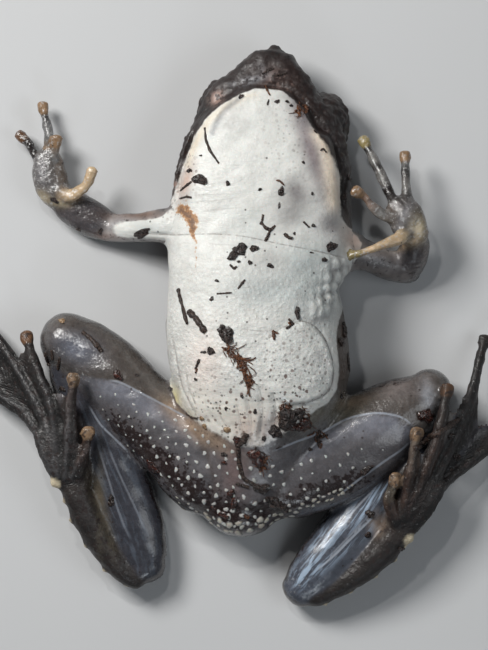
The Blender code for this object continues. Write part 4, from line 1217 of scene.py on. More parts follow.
def signedLines(lines, up, reach):
    # signed distance to the nearest line, which side counting as plus, and how strong that line is
    side, strong, best = np.full(len(points), 9.0), np.zeros(len(points)), np.full(len(points), np.inf)
    for path, strength in lines:
        gap, share = lineDistance(places, path)
        curve = smoothPath(path, 8 * len(path))
        i = np.clip((share * (len(curve) - 1)).astype(int), 0, len(curve) - 2)
        run, off = curve[i + 1] - curve[i], places - curve[i]
        sign = np.where(run[:, 0] * off[:, 1] - run[:, 1] * off[:, 0] >= 0, 1.0, -1.0)
        closer = gap < best
        ends = fade(share, 0, 0.15) * (1 - fade(share, 0.85, 1))
        best[closer], side[closer] = gap[closer], (gap * sign)[closer]
        strong[closer] = (strength * ends * (1 - fade(gap, reach * 0.6, reach)))[closer]
    return side, strong * up


def tubercleMask():
    # 1 on each round tubercle of the heels and tarsi: its middle, where it starts to fade and where it ends
    rows = [(np.array(leg["heel"]) + offset, 0.5, 0.75) for leg in (legRight, legLeft)]
    for form in forms:
        if form.name.startswith("tarsus"):
            rows += [(spot, 0.24, 0.36) for spot in tarsusTubercles(form)]
    return np.max([1 - fade(np.linalg.norm(points - spot, axis=1), *ends) for spot, *ends in rows], axis=0)


def setAttribute(mesh, name, values):
    # a colour or a number for every point of a mesh
    values = np.asarray(values, np.float32)
    if values.ndim == 2:
        layer = mesh.attributes.new(name, "FLOAT_COLOR", "POINT")
        values = np.concatenate([values, np.ones((len(values), 1), np.float32)], 1)
        layer.data.foreach_set("color", values.ravel())
    else:
        layer = mesh.attributes.new(name, "FLOAT", "POINT")
        layer.data.foreach_set("value", values)


tone, under, masks = paintSkin()
setAttribute(skin.data, "tone", tone)
setAttribute(skin.data, "under", under)
for name, values in masks.items():
    setAttribute(skin.data, name, values)
print("skin: painted")


def rgba(name):
    return (*[float(v) for v in colour(name)], 1.0)


class Graph:
    # a new material's node tree, with short names for the nodes that are used most
    def __init__(self, name):
        self.made = bpy.data.materials.new(name)
        self.made.use_nodes = True
        self.tree = self.made.node_tree
        self.shader = self.tree.nodes["Principled BSDF"]
        place = self.add("TexCoord").outputs["Object"]
        # pattern sizes are in cells per millimetre
        self.place = self.add("Mapping", {"Vector": place, "Scale": (1000, 1000, 1000)}).outputs[0]

    def feed(self, node, inputs):
        # links every socket that is given, and sets every plain value
        for name, value in inputs.items():
            if isinstance(value, bpy.types.NodeSocket):
                self.tree.links.new(value, node.inputs[name])
            else:
                node.inputs[name].default_value = value
        return node

    def add(self, kind, inputs=None, **settings):
        node = self.tree.nodes.new("ShaderNode" + kind)
        for name, value in settings.items():
            setattr(node, name, value)
        return self.feed(node, inputs or {})

    def mask(self, name, output="Fac"):
        return self.add("Attribute", attribute_name=name).outputs[output]

    def noise(self, scale, detail=3.0, rough=0.55, place=None):
        inputs = {"Vector": place or self.place, "Scale": scale, "Detail": detail, "Roughness": rough}
        return self.add("TexNoise", inputs).outputs["Fac"]

    def mix(self, share, a, b, blend="MIX"):
        return self.add("Mix", {0: share, 6: a, 7: b}, data_type="RGBA", blend_type=blend).outputs[2]

    def ramp(self, value, low, high, to=1.0):
        # smooth step of the value from low to high, reaching the number given by to
        inputs = {"Value": value, "From Min": low, "From Max": high, "To Max": to}
        return self.add("MapRange", inputs, interpolation_type="SMOOTHSTEP").outputs[0]

    def maths(self, kind, a, b=0.0):
        return self.add("Math", {0: a, 1: b}, operation=kind).outputs[0]

    def times(self, a, b):
        return self.maths("MULTIPLY", a, b)

    def plus(self, a, b):
        return self.maths("ADD", a, b)

    def bump(self, height, depth, under=None):
        # relief of the given depth in metres, on top of the relief under it
        inputs = {"Height": height, "Distance": depth, "Strength": 1.0}
        return self.add("Bump", {**inputs, "Normal": under} if under else inputs).outputs[0]


skinLook = {
    "subsurface": 0.12,
    "subsurfaceScale": 0.0008,
    "subsurfaceRadius": (1.0, 0.6, 0.45),
    "coatRoughness": 0.07,
    "roughDry": 0.5,
    "roughWet": 0.27,
    "roughMatte": 0.72,
    "coatDry": 0.12,
    "coatWet": 0.58,
    "wrinkleStep": 2.9,      # spacing of the cross wrinkles on the soles, in map steps
    "lineWidth": 0.8,        # half-width of the pale lines, in map steps
    "creaseWidth": 0.55,     # half-width of the dark creases, in map steps
    # depth of each fine relief, in metres
    "bellyGrain": 0.000042,
    "throatCrease": 0.00009,
    "hideGrain": 0.00011,
    "wrinkle": 0.00001,
    "fineGrain": 0.00005,
    # inks in linear light
    "blotch": (0.015, 0.0065, 0.0055, 1),
    # ink of the painted glints
    "fleck": (0.48, 0.48, 0.48, 1),
    "dim": (0.7, 0.69, 0.68, 1),
    # painted shade in the valleys of the belly's grain
    "valley": (0.42, 0.4, 0.39, 1),
    "stipple": (0.3, 0.27, 0.25, 1),
    # ink of the painted shade in the creases
    "crease": (0.16, 0.13, 0.12, 1),
    "stainDeep": (0.16, 0.062, 0.018, 1),
    "dark": (0.03, 0.02, 0.017, 1),
    "rusty": (0.1, 0.035, 0.018, 1),
    # specks: cells per mm, radius in cells, share of the cells left out, mask and ink
    "specks": [
        (1.15, 0.14, 0.7, None, "dark"), (2.3, 0.3, 0.2, "speck", "dark"),
        (1.6, 0.32, 0.3, "speck", "rusty"),
    ],
}


def skinMaterial():
    g, look = Graph("frogSkin"), skinLook
    mask, times, plus, ramp, noise, mix = g.mask, g.times, g.plus, g.ramp, g.noise, g.mix

    def nearTo(name, width):
        # 1 on a line and 0 beyond twice the width, from the signed distance to it
        return ramp(g.maths("ABSOLUTE", mask(name)), width * 2.0, width * 0.5)

    wide, middle, small = noise(0.55), noise(1.9, 4.0), noise(6.5)

    # milky unevenness and dark red-brown blotches in the hide, and painted glints as small pale flecks
    cloud = plus(times(wide, 0.9), times(middle, 1.0))
    cloud = g.add("CombineColor", {0: cloud, 1: cloud, 2: cloud}).outputs[0]
    base = mix(0.85, mask("tone", "Color"), cloud, "MULTIPLY")
    blotch = ramp(plus(noise(2.0, 6.0, 0.62), times(mask("mottle"), 0.36)), 0.74, 0.82)
    base = mix(times(blotch, 0.85), base, look["blotch"])
    fleck = ramp(plus(noise(3.4, 3.0, 0.6), times(mask("fleck"), 0.14)), 0.66, 0.74)
    base = mix(times(fleck, times(mask("fleck"), 0.75)), base, look["fleck"])
    base = mix(times(nearTo("lineSide", look["lineWidth"]), mask("lineStrength")), base, rgba("paleLine"))

    # painted highlights drawn out as bright streaks along the shanks, over their silvery sheath
    run = g.add("CombineXYZ", {0: mask("streakAcross"), 1: mask("streakAlong")}).outputs[0]
    streak = ramp(noise(1.7, 3.0, 0.6, run), 0.44, 0.62)
    streak = plus(streak, times(ramp(noise(4.0, 2.0, place=run), 0.5, 0.6), 0.5))
    streak = ramp(plus(streak, times(mask("silver"), 0.35)), 0.3, 1.3, 0.95)
    base = mix(times(mask("silver"), streak), base, rgba("streak"))

    # white underside with an uneven edge
    ragged = ramp(plus(mask("pale"), times(plus(middle, -0.5), 0.5)), 0.3, 0.68)
    dim = ramp(plus(times(wide, 0.6), times(middle, 0.4)), 0.62, 0.4, 0.4)
    under = mask("under", "Color")
    white = mix(dim, under, mix(1.0, under, look["dim"], "MULTIPLY"))
    grain = g.add("TexVoronoi", {"Vector": g.place, "Scale": 2.5, "Randomness": 0.9}, feature="SMOOTH_F1")
    # painted shade in the valleys between the belly's grain
    valley = times(ramp(grain.outputs["Distance"], 0.3, 0.6), times(mask("grain"), 0.14))
    white = mix(valley, white, look["valley"])
    stipple = ramp(plus(noise(5.2, 4.0, 0.62), times(mask("speck"), -0.08)), 0.44, 0.32)
    white = mix(times(stipple, times(mask("grain"), 0.34)), white, look["stipple"])
    base = mix(ragged, base, white)
    # painted shade along the creases
    crease = times(mask("creaseDark"), ramp(middle, 0.25, 0.6))
    base = mix(times(nearTo("creaseSide", look["creaseWidth"]), crease), base, look["crease"])
    stain = plus(mask("stain"), times(plus(noise(3.2, 5.0, 0.6), -0.5), 1.3))
    stainTone = mix(ramp(stain, 0.55, 0.95), rgba("brownStain"), look["stainDeep"])
    base = mix(ramp(stain, 0.36, 0.66, 0.9), base, stainTone)
    base = mix(mask("tubercle"), base, rgba("tubercle"))

    # tiny dark specks: a few everywhere, and crowds of finer ones where the mask says
    for scale, radius, left, share, ink in look["specks"]:
        cells = g.add("TexVoronoi", {"Vector": g.place, "Scale": scale, "Randomness": 1.0})
        chosen = g.add("SeparateColor", {"Color": cells.outputs["Color"]}).outputs[0]
        speck = times(ramp(cells.outputs["Distance"], radius, radius * 0.6), ramp(chosen, left, left + 0.04))
        speck = times(speck, mask(share)) if share else speck
        base = mix(times(speck, 0.8), base, look[ink])

    # relief: round grain on the belly, creases across the throat, rough hide, and cross wrinkles on the soles
    bead = times(ramp(grain.outputs["Distance"], 0.62, 0.05), mask("grain"))
    phase = plus(plus(times(mask("streamOut"), 0.3), mask("streamBeside")), times(middle, 5.0))
    wrinkle = g.maths("SINE", times(phase, 2 * math.pi / look["wrinkleStep"]))
    drawn = g.add("Mapping", {"Vector": g.place, "Scale": (0.35, 1.5, 1.0)}).outputs[0]
    relief = None
    for height, depth in (
            (bead, "bellyGrain"), (times(noise(1.3, place=drawn), mask("pale")), "throatCrease"),
            (times(noise(2.4, 3.0, 0.6), mask("hide")), "hideGrain"),
            (times(wrinkle, times(mask("stream"), ramp(wide, 0.4, 0.6))), "wrinkle"),
            (times(small, plus(mask("grain"), 0.35)), "fineGrain")):
        relief = g.bump(height, look[depth], relief)

    wet = mask("wet")
    rough = plus(times(middle, 0.16), look["roughDry"] - 0.08)
    rough = plus(times(wet, look["roughWet"] - look["roughDry"]), rough)
    rough = plus(rough, times(mask("matte"), look["roughMatte"] - look["roughDry"]))
    g.feed(g.shader, {
        "Base Color": base, "Normal": relief, "Coat Normal": relief, "Roughness": rough,
        "Coat Weight": plus(times(wet, look["coatWet"] - look["coatDry"]), look["coatDry"]),
        "Coat Roughness": look["coatRoughness"], "Subsurface Weight": look["subsurface"],
        "Subsurface Scale": look["subsurfaceScale"], "Subsurface Radius": look["subsurfaceRadius"]})
    return g.made


skin.data.materials.append(skinMaterial())
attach(skin, "root")
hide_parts(*[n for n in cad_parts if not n.startswith("eye")])


def buildEye(side):
    # a ball whose front bulges into a clear-looking dome; rings run round the line of sight
    centre, look, level, tall = eyeAxes(side)
    size, rows, sides = eyes["radius"], 46, 72
    turn = np.linspace(0, math.pi, rows + 2)[1:-1, None]
    angle = np.linspace(0, 2 * math.pi, sides, endpoint=False)
    radius = size * (1 + eyes["dome"] * hump(turn, 0, 0.75)) + 0 * angle
    flat = radius * np.sin(turn)
    p = (look * (radius * np.cos(turn))[..., None] + level * (flat * np.cos(angle))[..., None]
         + tall * (flat * np.sin(angle))[..., None]).reshape(-1, 3)
    off = np.concatenate([p, [look * size * (1 + eyes["dome"]), -look * size]])
    eye = makeObject("eyeball_" + side, off + centre, ringFaces(rows, sides))
    across, height, ahead = off @ level / size, off @ tall / size, off @ look > 0
    pupil = np.hypot(across / eyes["pupil"][0], height / eyes["pupil"][1])
    setAttribute(eye.data, "pupil", (1 - fade(pupil, 0.9, 1.1)) * ahead)
    setAttribute(eye.data, "iris", (1 - fade(np.hypot(across, height), *eyes["iris"])) * ahead)
    return eye


def eyeMaterial():
    g = Graph("wetEye")
    ring = g.mix(g.ramp(g.noise(5.0, 6.0, 0.7), 0.42, 0.62), (0.09, 0.045, 0.015, 1), (0.5, 0.3, 0.09, 1))
    base = g.mix(g.mask("iris"), (0.012, 0.009, 0.008, 1), ring)
    base = g.mix(g.mask("pupil"), base, (0.002, 0.002, 0.002, 1))
    g.feed(g.shader, {"Base Color": base, "Roughness": 0.16, "Coat Weight": 0.5, "Coat Roughness": 0.03})
    return g.made


eyeFinish = eyeMaterial()
for side in ("right", "left"):
    eye = buildEye(side)
    eye.data.materials.append(eyeFinish)
    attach(eye, "root")
    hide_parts("eye_" + side)
print("eyes: done")


def onSkin(place):
    # the spot on the skin straight under a place on the map, the skin's direction there and the triangle hit
    x, y = fromMap([place])[0]
    spot, normal, face, _ = skinTree.ray_cast(Vector((x, y, 30.0)), Vector((0, 0, -1.0)))
    return (None, None, None) if spot is None else (np.array(spot), np.array(normal), face)


# outline on the map, two ends of the zone, and at each of them spacing and radius in map steps;
# turn is the way the long axis lies, in degrees, and cream how yellowish the granules are
granuleZones = [
    {"outline": [(92, 392), (112, 392), (150, 408), (190, 426), (226, 446), (246, 462), (248, 528),
                 (222, 526), (196, 514), (168, 488), (138, 456), (112, 430)],
     "far": (98, 395), "near": (225, 505), "spacing": (11.0, 9.4), "radius": (1.0, 2.55),
     "turn": 85, "cream": 0.1},
    {"outline": [(246, 462), (268, 462), (300, 462), (352, 450), (390, 440), (384, 458), (352, 478),
                 (318, 494), (284, 508), (250, 528)],
     "far": (400, 430), "near": (262, 515), "spacing": (19.0, 10.0), "radius": (1.0, 2.35),
     "turn": 80, "cream": 0.1},
    {"outline": [(170, 490), (200, 510), (226, 524), (238, 524), (238, 534), (214, 528), (186, 512)],
     "far": (170, 492), "near": (236, 528), "spacing": (5.4, 6.4), "radius": (2.2, 3.6),
     "turn": 30, "cream": 0.8},
    {"outline": [(238, 522), (262, 518), (300, 503), (340, 487), (356, 484), (336, 498), (300, 513),
                 (262, 528), (238, 534)],
     "far": (350, 486), "near": (240, 526), "spacing": (5.6, 6.4), "radius": (2.0, 3.4),
     "turn": -18, "cream": 0.6},
]


def scatterGranules():
    # darts thrown over each zone, kept where no earlier one is nearer than the local spacing
    kept, rows = [], []
    for zone in granuleZones:
        outline = np.array(zone["outline"], float)
        darts = chance.uniform(outline.min(0), outline.max(0), (2600, 2))
        darts = darts[insideDistance(darts, outline) > 0]
        far, run = np.array(zone["far"]), np.array(zone["near"]) - zone["far"]
        for dart, t in zip(darts, np.clip(((darts - far) @ run) / (run @ run), 0, 1)):
            spacing, radius = (zone[name][0] * (1 - t) + zone[name][1] * t for name in ("spacing", "radius"))
            if kept:
                nearest = np.linalg.norm(np.array(kept) - dart, axis=1).min()
                if nearest < spacing * chance.uniform(0.7, 1.0):
                    continue
            kept.append(dart)
            rows.append((radius * chance.uniform(0.6, 1.25), zone["turn"] + chance.normal(0, 32),
                         zone["cream"] * chance.uniform(0.6, 1.3)))
    sizes, turns, creams = np.array(rows).T
    return np.array(kept), sizes * mapStep, np.radians(turns), creams


granuleForm = {
    # rings of a mound from its foot up: distance from the middle and height, as shares of its radius
    "out": (1.2, 0.98, 0.66, 0.33),
    "lift": (-0.14, 0.05, 0.19, 0.26),
    "top": 0.28,
    "bottom": -0.25,
    "sides": 12,
    "paleness": (0.0, 0.42, 0.85, 1.0),      # how far each ring turns from the skin's tone to the pale one
    "shade": 0.75,                           # how bright the foot is beside the skin
}


def buildGranules():
    # low mounds of uneven outline: radius varies with the angle by three sine waves
    form, (spots, sizes, turns, creams) = granuleForm, scatterGranules()
    found = [onSkin(spot) for spot in spots]
    good = np.array([hit[0] is not None and hit[1][2] > 0.1 for hit in found])
    base, normal, around = (np.array(rows) for rows in zip(*[
        (hit[0], hit[1], tone[tris[hit[2]]].mean(0)) for hit, ok in zip(found, good) if ok]))
    sizes, turns, creams = sizes[good, None, None], turns[good], creams[good]
    count, sides = len(base), form["sides"]
    way = np.stack([np.cos(turns), -np.sin(turns), np.zeros(count)], -1)
    level = lastAxis(way - normal * (way * normal).sum(1, keepdims=True))
    other = np.cross(normal, level)
    out, lift = (np.array(form[name])[None, :, None] for name in ("out", "lift"))
    angle = np.linspace(0, 2 * math.pi, sides, endpoint=False)[None, None]
    a, b = chance.uniform(0, 6.3, (2, count, 1, 1))
    uneven = 0.12 * np.sin(2 * angle + a) + 0.12 * np.sin(3 * angle + b) + 0.06 * np.sin(5 * angle)
    radius = out * (1 + uneven) * sizes
    stretch = chance.uniform(0.96, 1.22, (count, 1, 1))
    u, v = radius * np.cos(angle) * stretch, radius * np.sin(angle) / stretch
    w = np.broadcast_to(lift * sizes, u.shape)
    grid = base[:, None, None] + sum(size[..., None] * axis[:, None, None]
                                     for size, axis in ((u, level), (v, other), (w, normal)))
    poles = np.stack([base + normal * sizes[:, 0] * form[end] for end in ("bottom", "top")], 1)
    grid = np.concatenate([grid.reshape(count, -1, 3), poles], 1)
    each = grid.shape[1]
    template = ringFaces(len(form["out"]), sides)
    faces = [[i + k * each for i in polygon] for k in range(count) for polygon in template]
    print("granules:", count)
    made = makeObject("thigh_granules", grid.reshape(-1, 3), faces)
    rim = np.concatenate([np.repeat(form["paleness"], sides), [0.0, 1.0]])
    setAttribute(made.data, "rim", np.tile(rim, count))
    setAttribute(made.data, "cream", np.repeat(creams, each))
    setAttribute(made.data, "around", np.repeat(around * form["shade"], each, axis=0))
    return made


def granuleMaterial():
    g = Graph("paleGranule")
    tint = g.noise(3.2, 4.0, 0.6)
    pale = g.mix(g.mask("cream"), (0.6, 0.61, 0.6, 1), (0.5, 0.43, 0.31, 1))
    pale = g.mix(g.ramp(tint, 0.35, 0.65, 0.5), pale, (0.36, 0.34, 0.32, 1))
    uneven = g.plus(g.mask("rim"), g.times(g.plus(tint, -0.5), 0.9))
    g.feed(g.shader, {
        "Base Color": g.mix(g.ramp(uneven, 0.2, 0.95), g.mask("around", "Color"), pale),
        "Normal": g.bump(g.noise(9.0), 0.00002), "Roughness": 0.4, "Coat Weight": 0.5, "Coat Roughness": 0.12,
        "Subsurface Weight": 0.1, "Subsurface Scale": 0.0006})
    return g.made


granules = buildGranules()
granules.data.materials.append(granuleMaterial())
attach(granules, "root")


def skinTrack(path, spans, lift, bent):
    # a line on the map laid on the skin: a smooth one, or straight between its points where it is bent
    path = np.array(path, float)
    if bent:
        t = np.linspace(0, len(path) - 1, spans + 1)
        line = np.stack([np.interp(t, np.arange(len(path)), path[:, k]) for k in (0, 1)], -1)
    else:
        line = smoothPath(path, spans)
    found = [onSkin(place) for place in line]
    return np.array([hit[0] + hit[1] * lift for hit in found if hit[0] is not None])


def strand(track, radius, blunt, sides=8, flat=0.6, waver=0.12):
    # a tube along the track, thinning to both ends, its girth uneven by three sine waves
    along = lastAxis(np.gradient(track, axis=0))
    level = lastAxis(np.cross(along, (0, 0, 1.0)))
    other = np.cross(level, along)
    share = np.linspace(0, 1, len(track))
    uneven = sum(np.sin(share * k + chance.uniform(0, 6.3)) for k in (7, 17, 31))
    girth = radius * (blunt + (1 - blunt) * np.sin(math.pi * share) ** 0.35) * (1 + waver * uneven)
    angle = np.linspace(0, 2 * math.pi, sides, endpoint=False)
    ring = np.cos(angle)[:, None] * level[:, None] + flat * np.sin(angle)[:, None] * other[:, None]
    p = track[:, None] + girth[:, None, None] * ring
    return np.concatenate([p.reshape(-1, 3), [track[0], track[-1]]]), ringFaces(len(track), sides)


def fibreBunch(spine, spread, count, width):
    # short curved fibres that leave a spine on the map at seeded places and angles
    line = smoothPath(spine, 40)
    paths = []
    for _ in range(count):
        i = int(chance.uniform(0, 34))
        run = lastAxis(line[i + 4] - line[i])
        side = np.array([-run[1], run[0]])
        start = line[i] + side * chance.normal(0, spread * 0.3)
        reach, swing = chance.uniform(2.5, 8), chance.normal(0, 0.5)
        bend = start + reach * 0.5 * (run + side * swing)
        end = bend + reach * 0.5 * (run + side * (swing + chance.normal(0, 0.8)))
        paths.append(([start, bend, end], width * chance.uniform(0.6, 1.5)))
    return paths


def flake(place, length, width, angle, thick=0.45, rings=8, sides=14):
    # a lump of uneven outline: a ball's radius varies with both angles by sine waves, and it is pressed flat
    spot, normal, _ = onSkin(place)
    if spot is None:
        return None
    turn = np.linspace(0, math.pi, rings + 2)[1:-1, None]
    way = np.linspace(0, 2 * math.pi, sides, endpoint=False)
    phase = chance.uniform(0, 6.3, 3)
    radius = 1 + sum(high * np.sin(k * way + m * turn + phase[i]) for high, k, m, i in grime["waves"])
    x = radius * np.sin(turn) * np.cos(way) * length / 2 * mapStep
    y = radius * np.sin(turn) * np.sin(way) * width / 2 * mapStep
    z = (radius - 1 + np.cos(turn)) * thick * min(length, width) / 2 * mapStep
    level = lastAxis(np.cross((0, 1.0, 0), normal))
    other = np.cross(normal, level)
    c, s = math.cos(math.radians(angle)), math.sin(math.radians(angle))
    u, v = level * c - other * s, level * s + other * c
    p = spot + x[..., None] * u + y[..., None] * v + (z + 0.04)[..., None] * normal
    poles = [spot + normal * (z[0].mean() + 0.05), spot + normal * (z[-1].mean() + 0.03)]
    return np.concatenate([p.reshape(-1, 3), poles]), ringFaces(rings, sides)


grime = {
    # uneven outline of crumbs and clots: height, turns round and down, and which of three phases
    "waves": [(0.16, 2, 0, 0), (0.13, 3, 0, 1), (0.1, 5, 3, 2), (0.07, 9, 4, 0), (0.06, 0, 7, 1)],
    # each kind's material: dark and light tone, roughness and coat
    "soil": ("driedSoil", (0.008, 0.005, 0.004, 1), (0.06, 0.036, 0.03, 1), 0.6, 0.35),
    "clot": ("darkClot", (0.006, 0.002, 0.002, 1), (0.1, 0.022, 0.01, 1), 0.35, 0.9),
    "bark": ("barkShred", (0.016, 0.009, 0.007, 1), (0.085, 0.05, 0.036, 1), 0.75, 0.15),
    "root": ("rootlet", (0.035, 0.011, 0.005, 1), (0.22, 0.075, 0.02, 1), 0.6, 0.3),
    "tan": ("tanNodule", (0.24, 0.14, 0.07, 1), (0.5, 0.36, 0.22, 1), 0.5, 0.5),
    # crumbs of dried soil: map place, length, width, turn
    "crumbs": [
        (240, 250, 14, 13, 30), (233, 256, 11, 9, -30), (254, 249, 9, 7, 20), (250, 263, 5, 4, 0),
        (239, 262, 3, 3, 0), (270, 266, 6, 5, 30), (331, 247, 13, 10, -15), (324, 260, 6, 5, 0),
        (311, 253, 4, 2, 0), (200, 180, 15, 11, 5), (228, 184, 5, 5, 40), (189, 171, 5, 4, 0),
        (241, 97, 6, 4, -60), (277, 102, 5, 4, 0), (287, 102, 4, 3, 0), (291, 106, 4, 3, 30),
        (268, 103, 2, 6, 10), (315, 132, 3, 5, 0), (303, 163, 3, 3, 0), (312, 194, 3, 3, 0),
        (260, 190, 4, 3, 0), (201, 156, 3, 2, 0), (313, 226, 4, 4, 0), (294, 234, 3, 3, 0),
        (279, 206, 2, 7, 0), (227, 335, 17, 14, 25), (222, 329, 9, 8, 0), (211, 351, 9, 7, 0),
        (204, 352, 6, 3, 0), (212, 299, 4, 5, 0), (217, 281, 4, 3, 0), (297, 313, 6, 12, 0),
        (171, 389, 6, 4, 30), (196, 379, 4, 3, 0), (137, 375, 5, 3, 0), (111, 501, 7, 11, 20),
        (366, 470, 14, 8, -35), (370, 514, 9, 8, 30), (368, 535, 7, 6, 40), (287, 418, 22, 22, 20),
        (299, 413, 14, 11, 0), (275, 431, 13, 14, -20), (264, 438, 4, 7, 0), (278, 505, 21, 14, 38),
        (270, 499, 10, 8, 0), (310, 449, 5, 3, 0), (279, 447, 6, 2, -20), (262, 488, 16, 12, 0),
        (224, 454, 6, 5, 0), (78, 229, 5, 5, 0), (100, 231, 4, 7, 10), (54, 200, 9, 5, 20),
        (142, 233, 26, 8, -22), (400, 188, 13, 13, 0), (344, 330, 10, 15, 10), (341, 342, 10, 10, 0),
        (348, 362, 5, 17, 0), (341, 396, 6, 6, 0), (345, 198, 5, 10, 0), (349, 178, 5, 9, 0),
        (62, 389, 7, 6, 0), (457, 457, 9, 8, 0), (451, 436, 8, 7, 0), (401, 549, 9, 6, 20),
        (242, 396, 3, 4, 0), (255, 411, 4, 5, 0), (226, 408, 3, 4, 0), (281, 192, 6, 9, 25),
        (452, 470, 5, 3, 0),
    ],
    # dark red clots with a wet gloss
    "clots": [
        (257, 457, 18, 17, 0), (253, 454, 11, 10, 0), (303, 424, 17, 15, 30), (289, 424, 16, 12, 0),
        (118, 375, 11, 9, 60), (153, 467, 17, 13, 60), (426, 416, 18, 15, 0), (234, 503, 7, 13, 10),
        (231, 493, 8, 9, 0), (224, 515, 12, 7, 10), (214, 508, 6, 5, 0), (237, 440, 10, 8, 60),
        (246, 516, 6, 5, 0), (191, 171, 4, 3, 0), (224, 462, 5, 5, 0),
    ],
    # shreds of bark and plant, along map places, with their half-width
    "shreds": [
        ([(205, 128), (206, 140), (210, 151), (219, 164)], 1.3),
        ([(263, 215), (262, 222), (260, 225)], 1.2),
        ([(261, 223), (266, 229), (271, 230), (275, 226)], 1.6),
        ([(270, 230), (268, 236), (265, 242)], 1.5), ([(238, 289), (245, 280)], 1.2),
        ([(217, 294), (232, 293)], 0.9), ([(179, 289), (182, 302), (188, 324)], 2.2),
        ([(189, 311), (197, 319), (206, 332)], 3.4), ([(200, 359), (196, 369)], 1.5),
        ([(288, 319), (293, 324), (286, 329)], 1.4), ([(247, 433), (243, 441), (236, 446)], 3.2),
        ([(238, 446), (239, 461), (242, 474), (245, 479), (257, 486)], 2.2),
        ([(236, 483), (249, 487)], 1.7), ([(82, 332), (92, 340), (102, 352)], 2.4),
        ([(379, 187), (382, 195), (385, 204)], 1.5), ([(413, 449), (430, 438), (459, 419)], 3.6),
        ([(181, 191), (187, 186), (192, 182)], 1.3), ([(180, 199), (187, 197), (192, 198)], 1.1),
        ([(284, 234), (288, 238), (292, 239)], 1.8), ([(303, 222), (306, 225), (309, 228)], 1.0),
        ([(320, 151), (323, 149), (326, 153)], 0.9), ([(319, 430), (317, 437), (320, 447)], 2.2),
        ([(318, 438), (328, 435)], 1.4), ([(230, 265), (234, 269), (237, 267)], 1.3),
        ([(52, 350), (53, 360)], 1.6), ([(60, 357), (58, 370)], 1.6), ([(45, 352), (49, 366)], 1.8),
        ([(256, 446), (252, 458), (260, 470)], 0.9), ([(186, 413), (192, 417), (198, 418)], 1.0),
        ([(262, 74), (268, 71), (274, 69)], 0.9), ([(272, 76), (280, 75), (287, 73)], 0.9),
    ],
    # orange-brown rootlets in bunches
    "rootlets": [
        ([(232, 352), (240, 364), (247, 384), (250, 396)], 1.1),
        ([(240, 358), (250, 360), (256, 357)], 0.9), ([(230, 350), (222, 347)], 1.1),
        ([(248, 368), (251, 380), (247, 394)], 0.9), ([(273, 330), (274, 340)], 1.6),
        ([(272, 331), (278, 334)], 1.2), ([(265, 86), (267, 91), (270, 96)], 1.0),
        ([(297, 106), (298, 112), (300, 117)], 1.4), ([(294, 112), (301, 110)], 1.2),
        ([(304, 105), (306, 110), (305, 114)], 1.6), ([(302, 106), (308, 108)], 1.1),
        ([(276, 181), (280, 182), (284, 186)], 1.0), ([(280, 406), (284, 409), (288, 406)], 2.0),
        ([(281, 404), (283, 411)], 1.5), ([(258, 462), (264, 461), (267, 456)], 1.8),
        ([(262, 466), (266, 468)], 1.6), ([(245, 515), (249, 518)], 2.2), ([(288, 322), (290, 326)], 1.2),
        ([(196, 373), (198, 368)], 0.9),
    ],
    # bunches of short fibres: spine, spread, number and half-width
    "bunches": [
        ([(224, 348), (236, 354), (243, 364), (247, 378), (250, 394)], 9, 130, 0.42),
        ([(290, 402), (284, 408), (278, 420)], 9, 44, 0.36),
        ([(262, 452), (266, 460), (261, 468)], 8, 26, 0.36),
        ([(300, 406), (306, 416), (308, 428)], 8, 36, 0.36),
        ([(296, 104), (302, 110), (300, 117)], 6, 9, 0.5),
        ([(318, 430), (318, 438), (322, 446)], 9, 14, 0.6),
    ],
    # tan nodules
    "nodules": [
        (228, 429, 9, 7, 0), (202, 418, 5, 6, 0), (205, 426, 5, 7, 20), (52, 390, 6, 7, 0),
        (62, 321, 7, 6, 0),
    ],
}


def grimeMaterial(name, dark, light, rough, coat):
    g = Graph(name)
    grain = g.noise(4.5, 5.0, 0.7)
    g.feed(g.shader, {
        "Base Color": g.mix(g.ramp(grain, 0.4, 0.68), dark, light), "Normal": g.bump(grain, 0.0002),
        "Roughness": g.ramp(grain, 0.2, 0.8, rough), "Coat Weight": coat, "Coat Roughness": 0.2})
    return g.made


def layGrime(name, kind, shapes, smooth=True):
    # one piece from all the shapes of a kind
    points, faces = joinMeshes([shape for shape in shapes if shape is not None])
    piece = makeObject(name, points, faces, smooth)
    piece.data.materials.append(grimeMaterial(*grime[kind]))
    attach(piece, "root")


layGrime("skin_crumbs", "soil", [flake(c[:2], *c[2:]) for c in grime["crumbs"]], False)
layGrime("skin_clots", "clot", [flake(c[:2], *c[2:], thick=0.35) for c in grime["clots"]])
for bunch in grime["bunches"]:
    grime["rootlets"] += fibreBunch(*bunch)
for name, kind, lift, bent, blunt in (("shreds", "bark", 0.05, True, 0.75),
                                      ("rootlets", "root", 0.08, False, 0.35)):
    tracks = [(skinTrack(path, 20, lift, bent), width * mapStep) for path, width in grime[name]]
    layGrime("skin_" + name, kind, [strand(t, w, blunt) for t, w in tracks if len(t) > 3])
layGrime("skin_nodules", "tan", [flake(c[:2], *c[2:], thick=0.35) for c in grime["nodules"]])
print("grime: done")


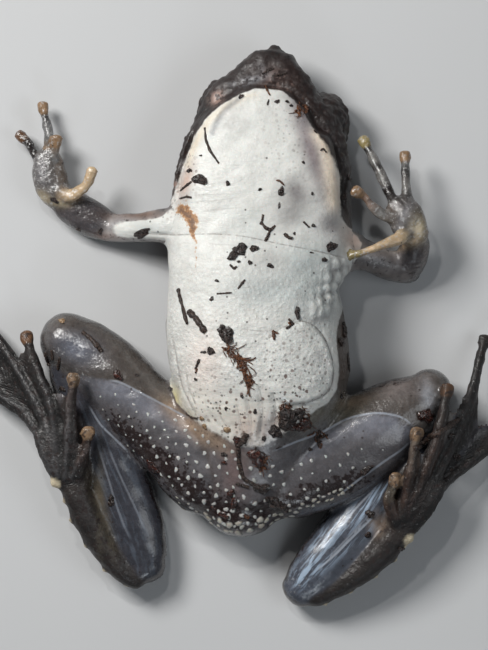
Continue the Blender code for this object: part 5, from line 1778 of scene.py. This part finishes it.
studio = {
    "lights": {
        # place, size, power, colour
        "keyBox": ((-0.15, 0.13, 0.19), 0.09, 0.70, (1.0, 0.985, 0.96)),
        "sparkBox": ((-0.05, 0.14, 0.25), 0.014, 0.09, (1.0, 0.99, 0.97)),
        "fillBox": ((0.20, -0.04, 0.22), 0.14, 0.13, (0.93, 0.97, 1.0)),
        "stripBox": ((0.03, -0.24, 0.16), 0.05, 0.06, (0.85, 0.93, 1.0)),
    },
    "room": ((0.9, 0.94, 1.0, 1), 0.06),    # colour and strength of the light from all around
    "camera": (0.00054, 0.00019, 1.0),
    "sensor": 36.0,                         # in mm
    "span": 0.0585,                         # how much the picture takes in, at the height below
    "focusHeight": 0.005,
}


def buildStage():
    # pale floor, soft lights and the camera straight above the frog
    bpy.ops.mesh.primitive_plane_add(size=3.0, location=(0, 0, -0.00002))
    floor = bpy.context.object
    floor.name = "floor"
    g = Graph("paleFloor")
    cloud = g.mix(g.noise(0.02, 2.0), (0.56, 0.57, 0.58, 1), (0.62, 0.63, 0.64, 1))
    g.feed(g.shader, {"Base Color": cloud, "Roughness": 0.7})
    floor.data.materials.append(g.made)
    for name, (place, size, power, tint) in studio["lights"].items():
        lamp = bpy.data.lights.new(name, "AREA")
        lamp.shape, lamp.size, lamp.energy, lamp.color = "SQUARE", size, power, tint
        obj = bpy.data.objects.new(name, lamp)
        obj.location = place
        obj.rotation_euler = (-Vector(place)).to_track_quat("-Z", "Y").to_euler()
        obj.visible_camera = False
        bpy.context.scene.collection.objects.link(obj)
    world = bpy.data.worlds.new("softRoom")
    world.use_nodes = True
    for socket, value in zip(world.node_tree.nodes["Background"].inputs, studio["room"]):
        socket.default_value = value
    bpy.context.scene.world = world
    bpy.context.scene.view_settings.view_transform = "Standard"
    camera = bpy.data.objects.new("camera", bpy.data.cameras.new("camera"))
    camera.data.sensor_width = studio["sensor"]
    camera.data.lens = studio["sensor"] * (studio["camera"][2] - studio["focusHeight"]) / studio["span"]
    camera.data.clip_start, camera.data.clip_end = 0.01, 10.0
    camera.location = studio["camera"]
    bpy.context.scene.collection.objects.link(camera)
    bpy.context.scene.camera = camera


buildStage()
print("stage: done")
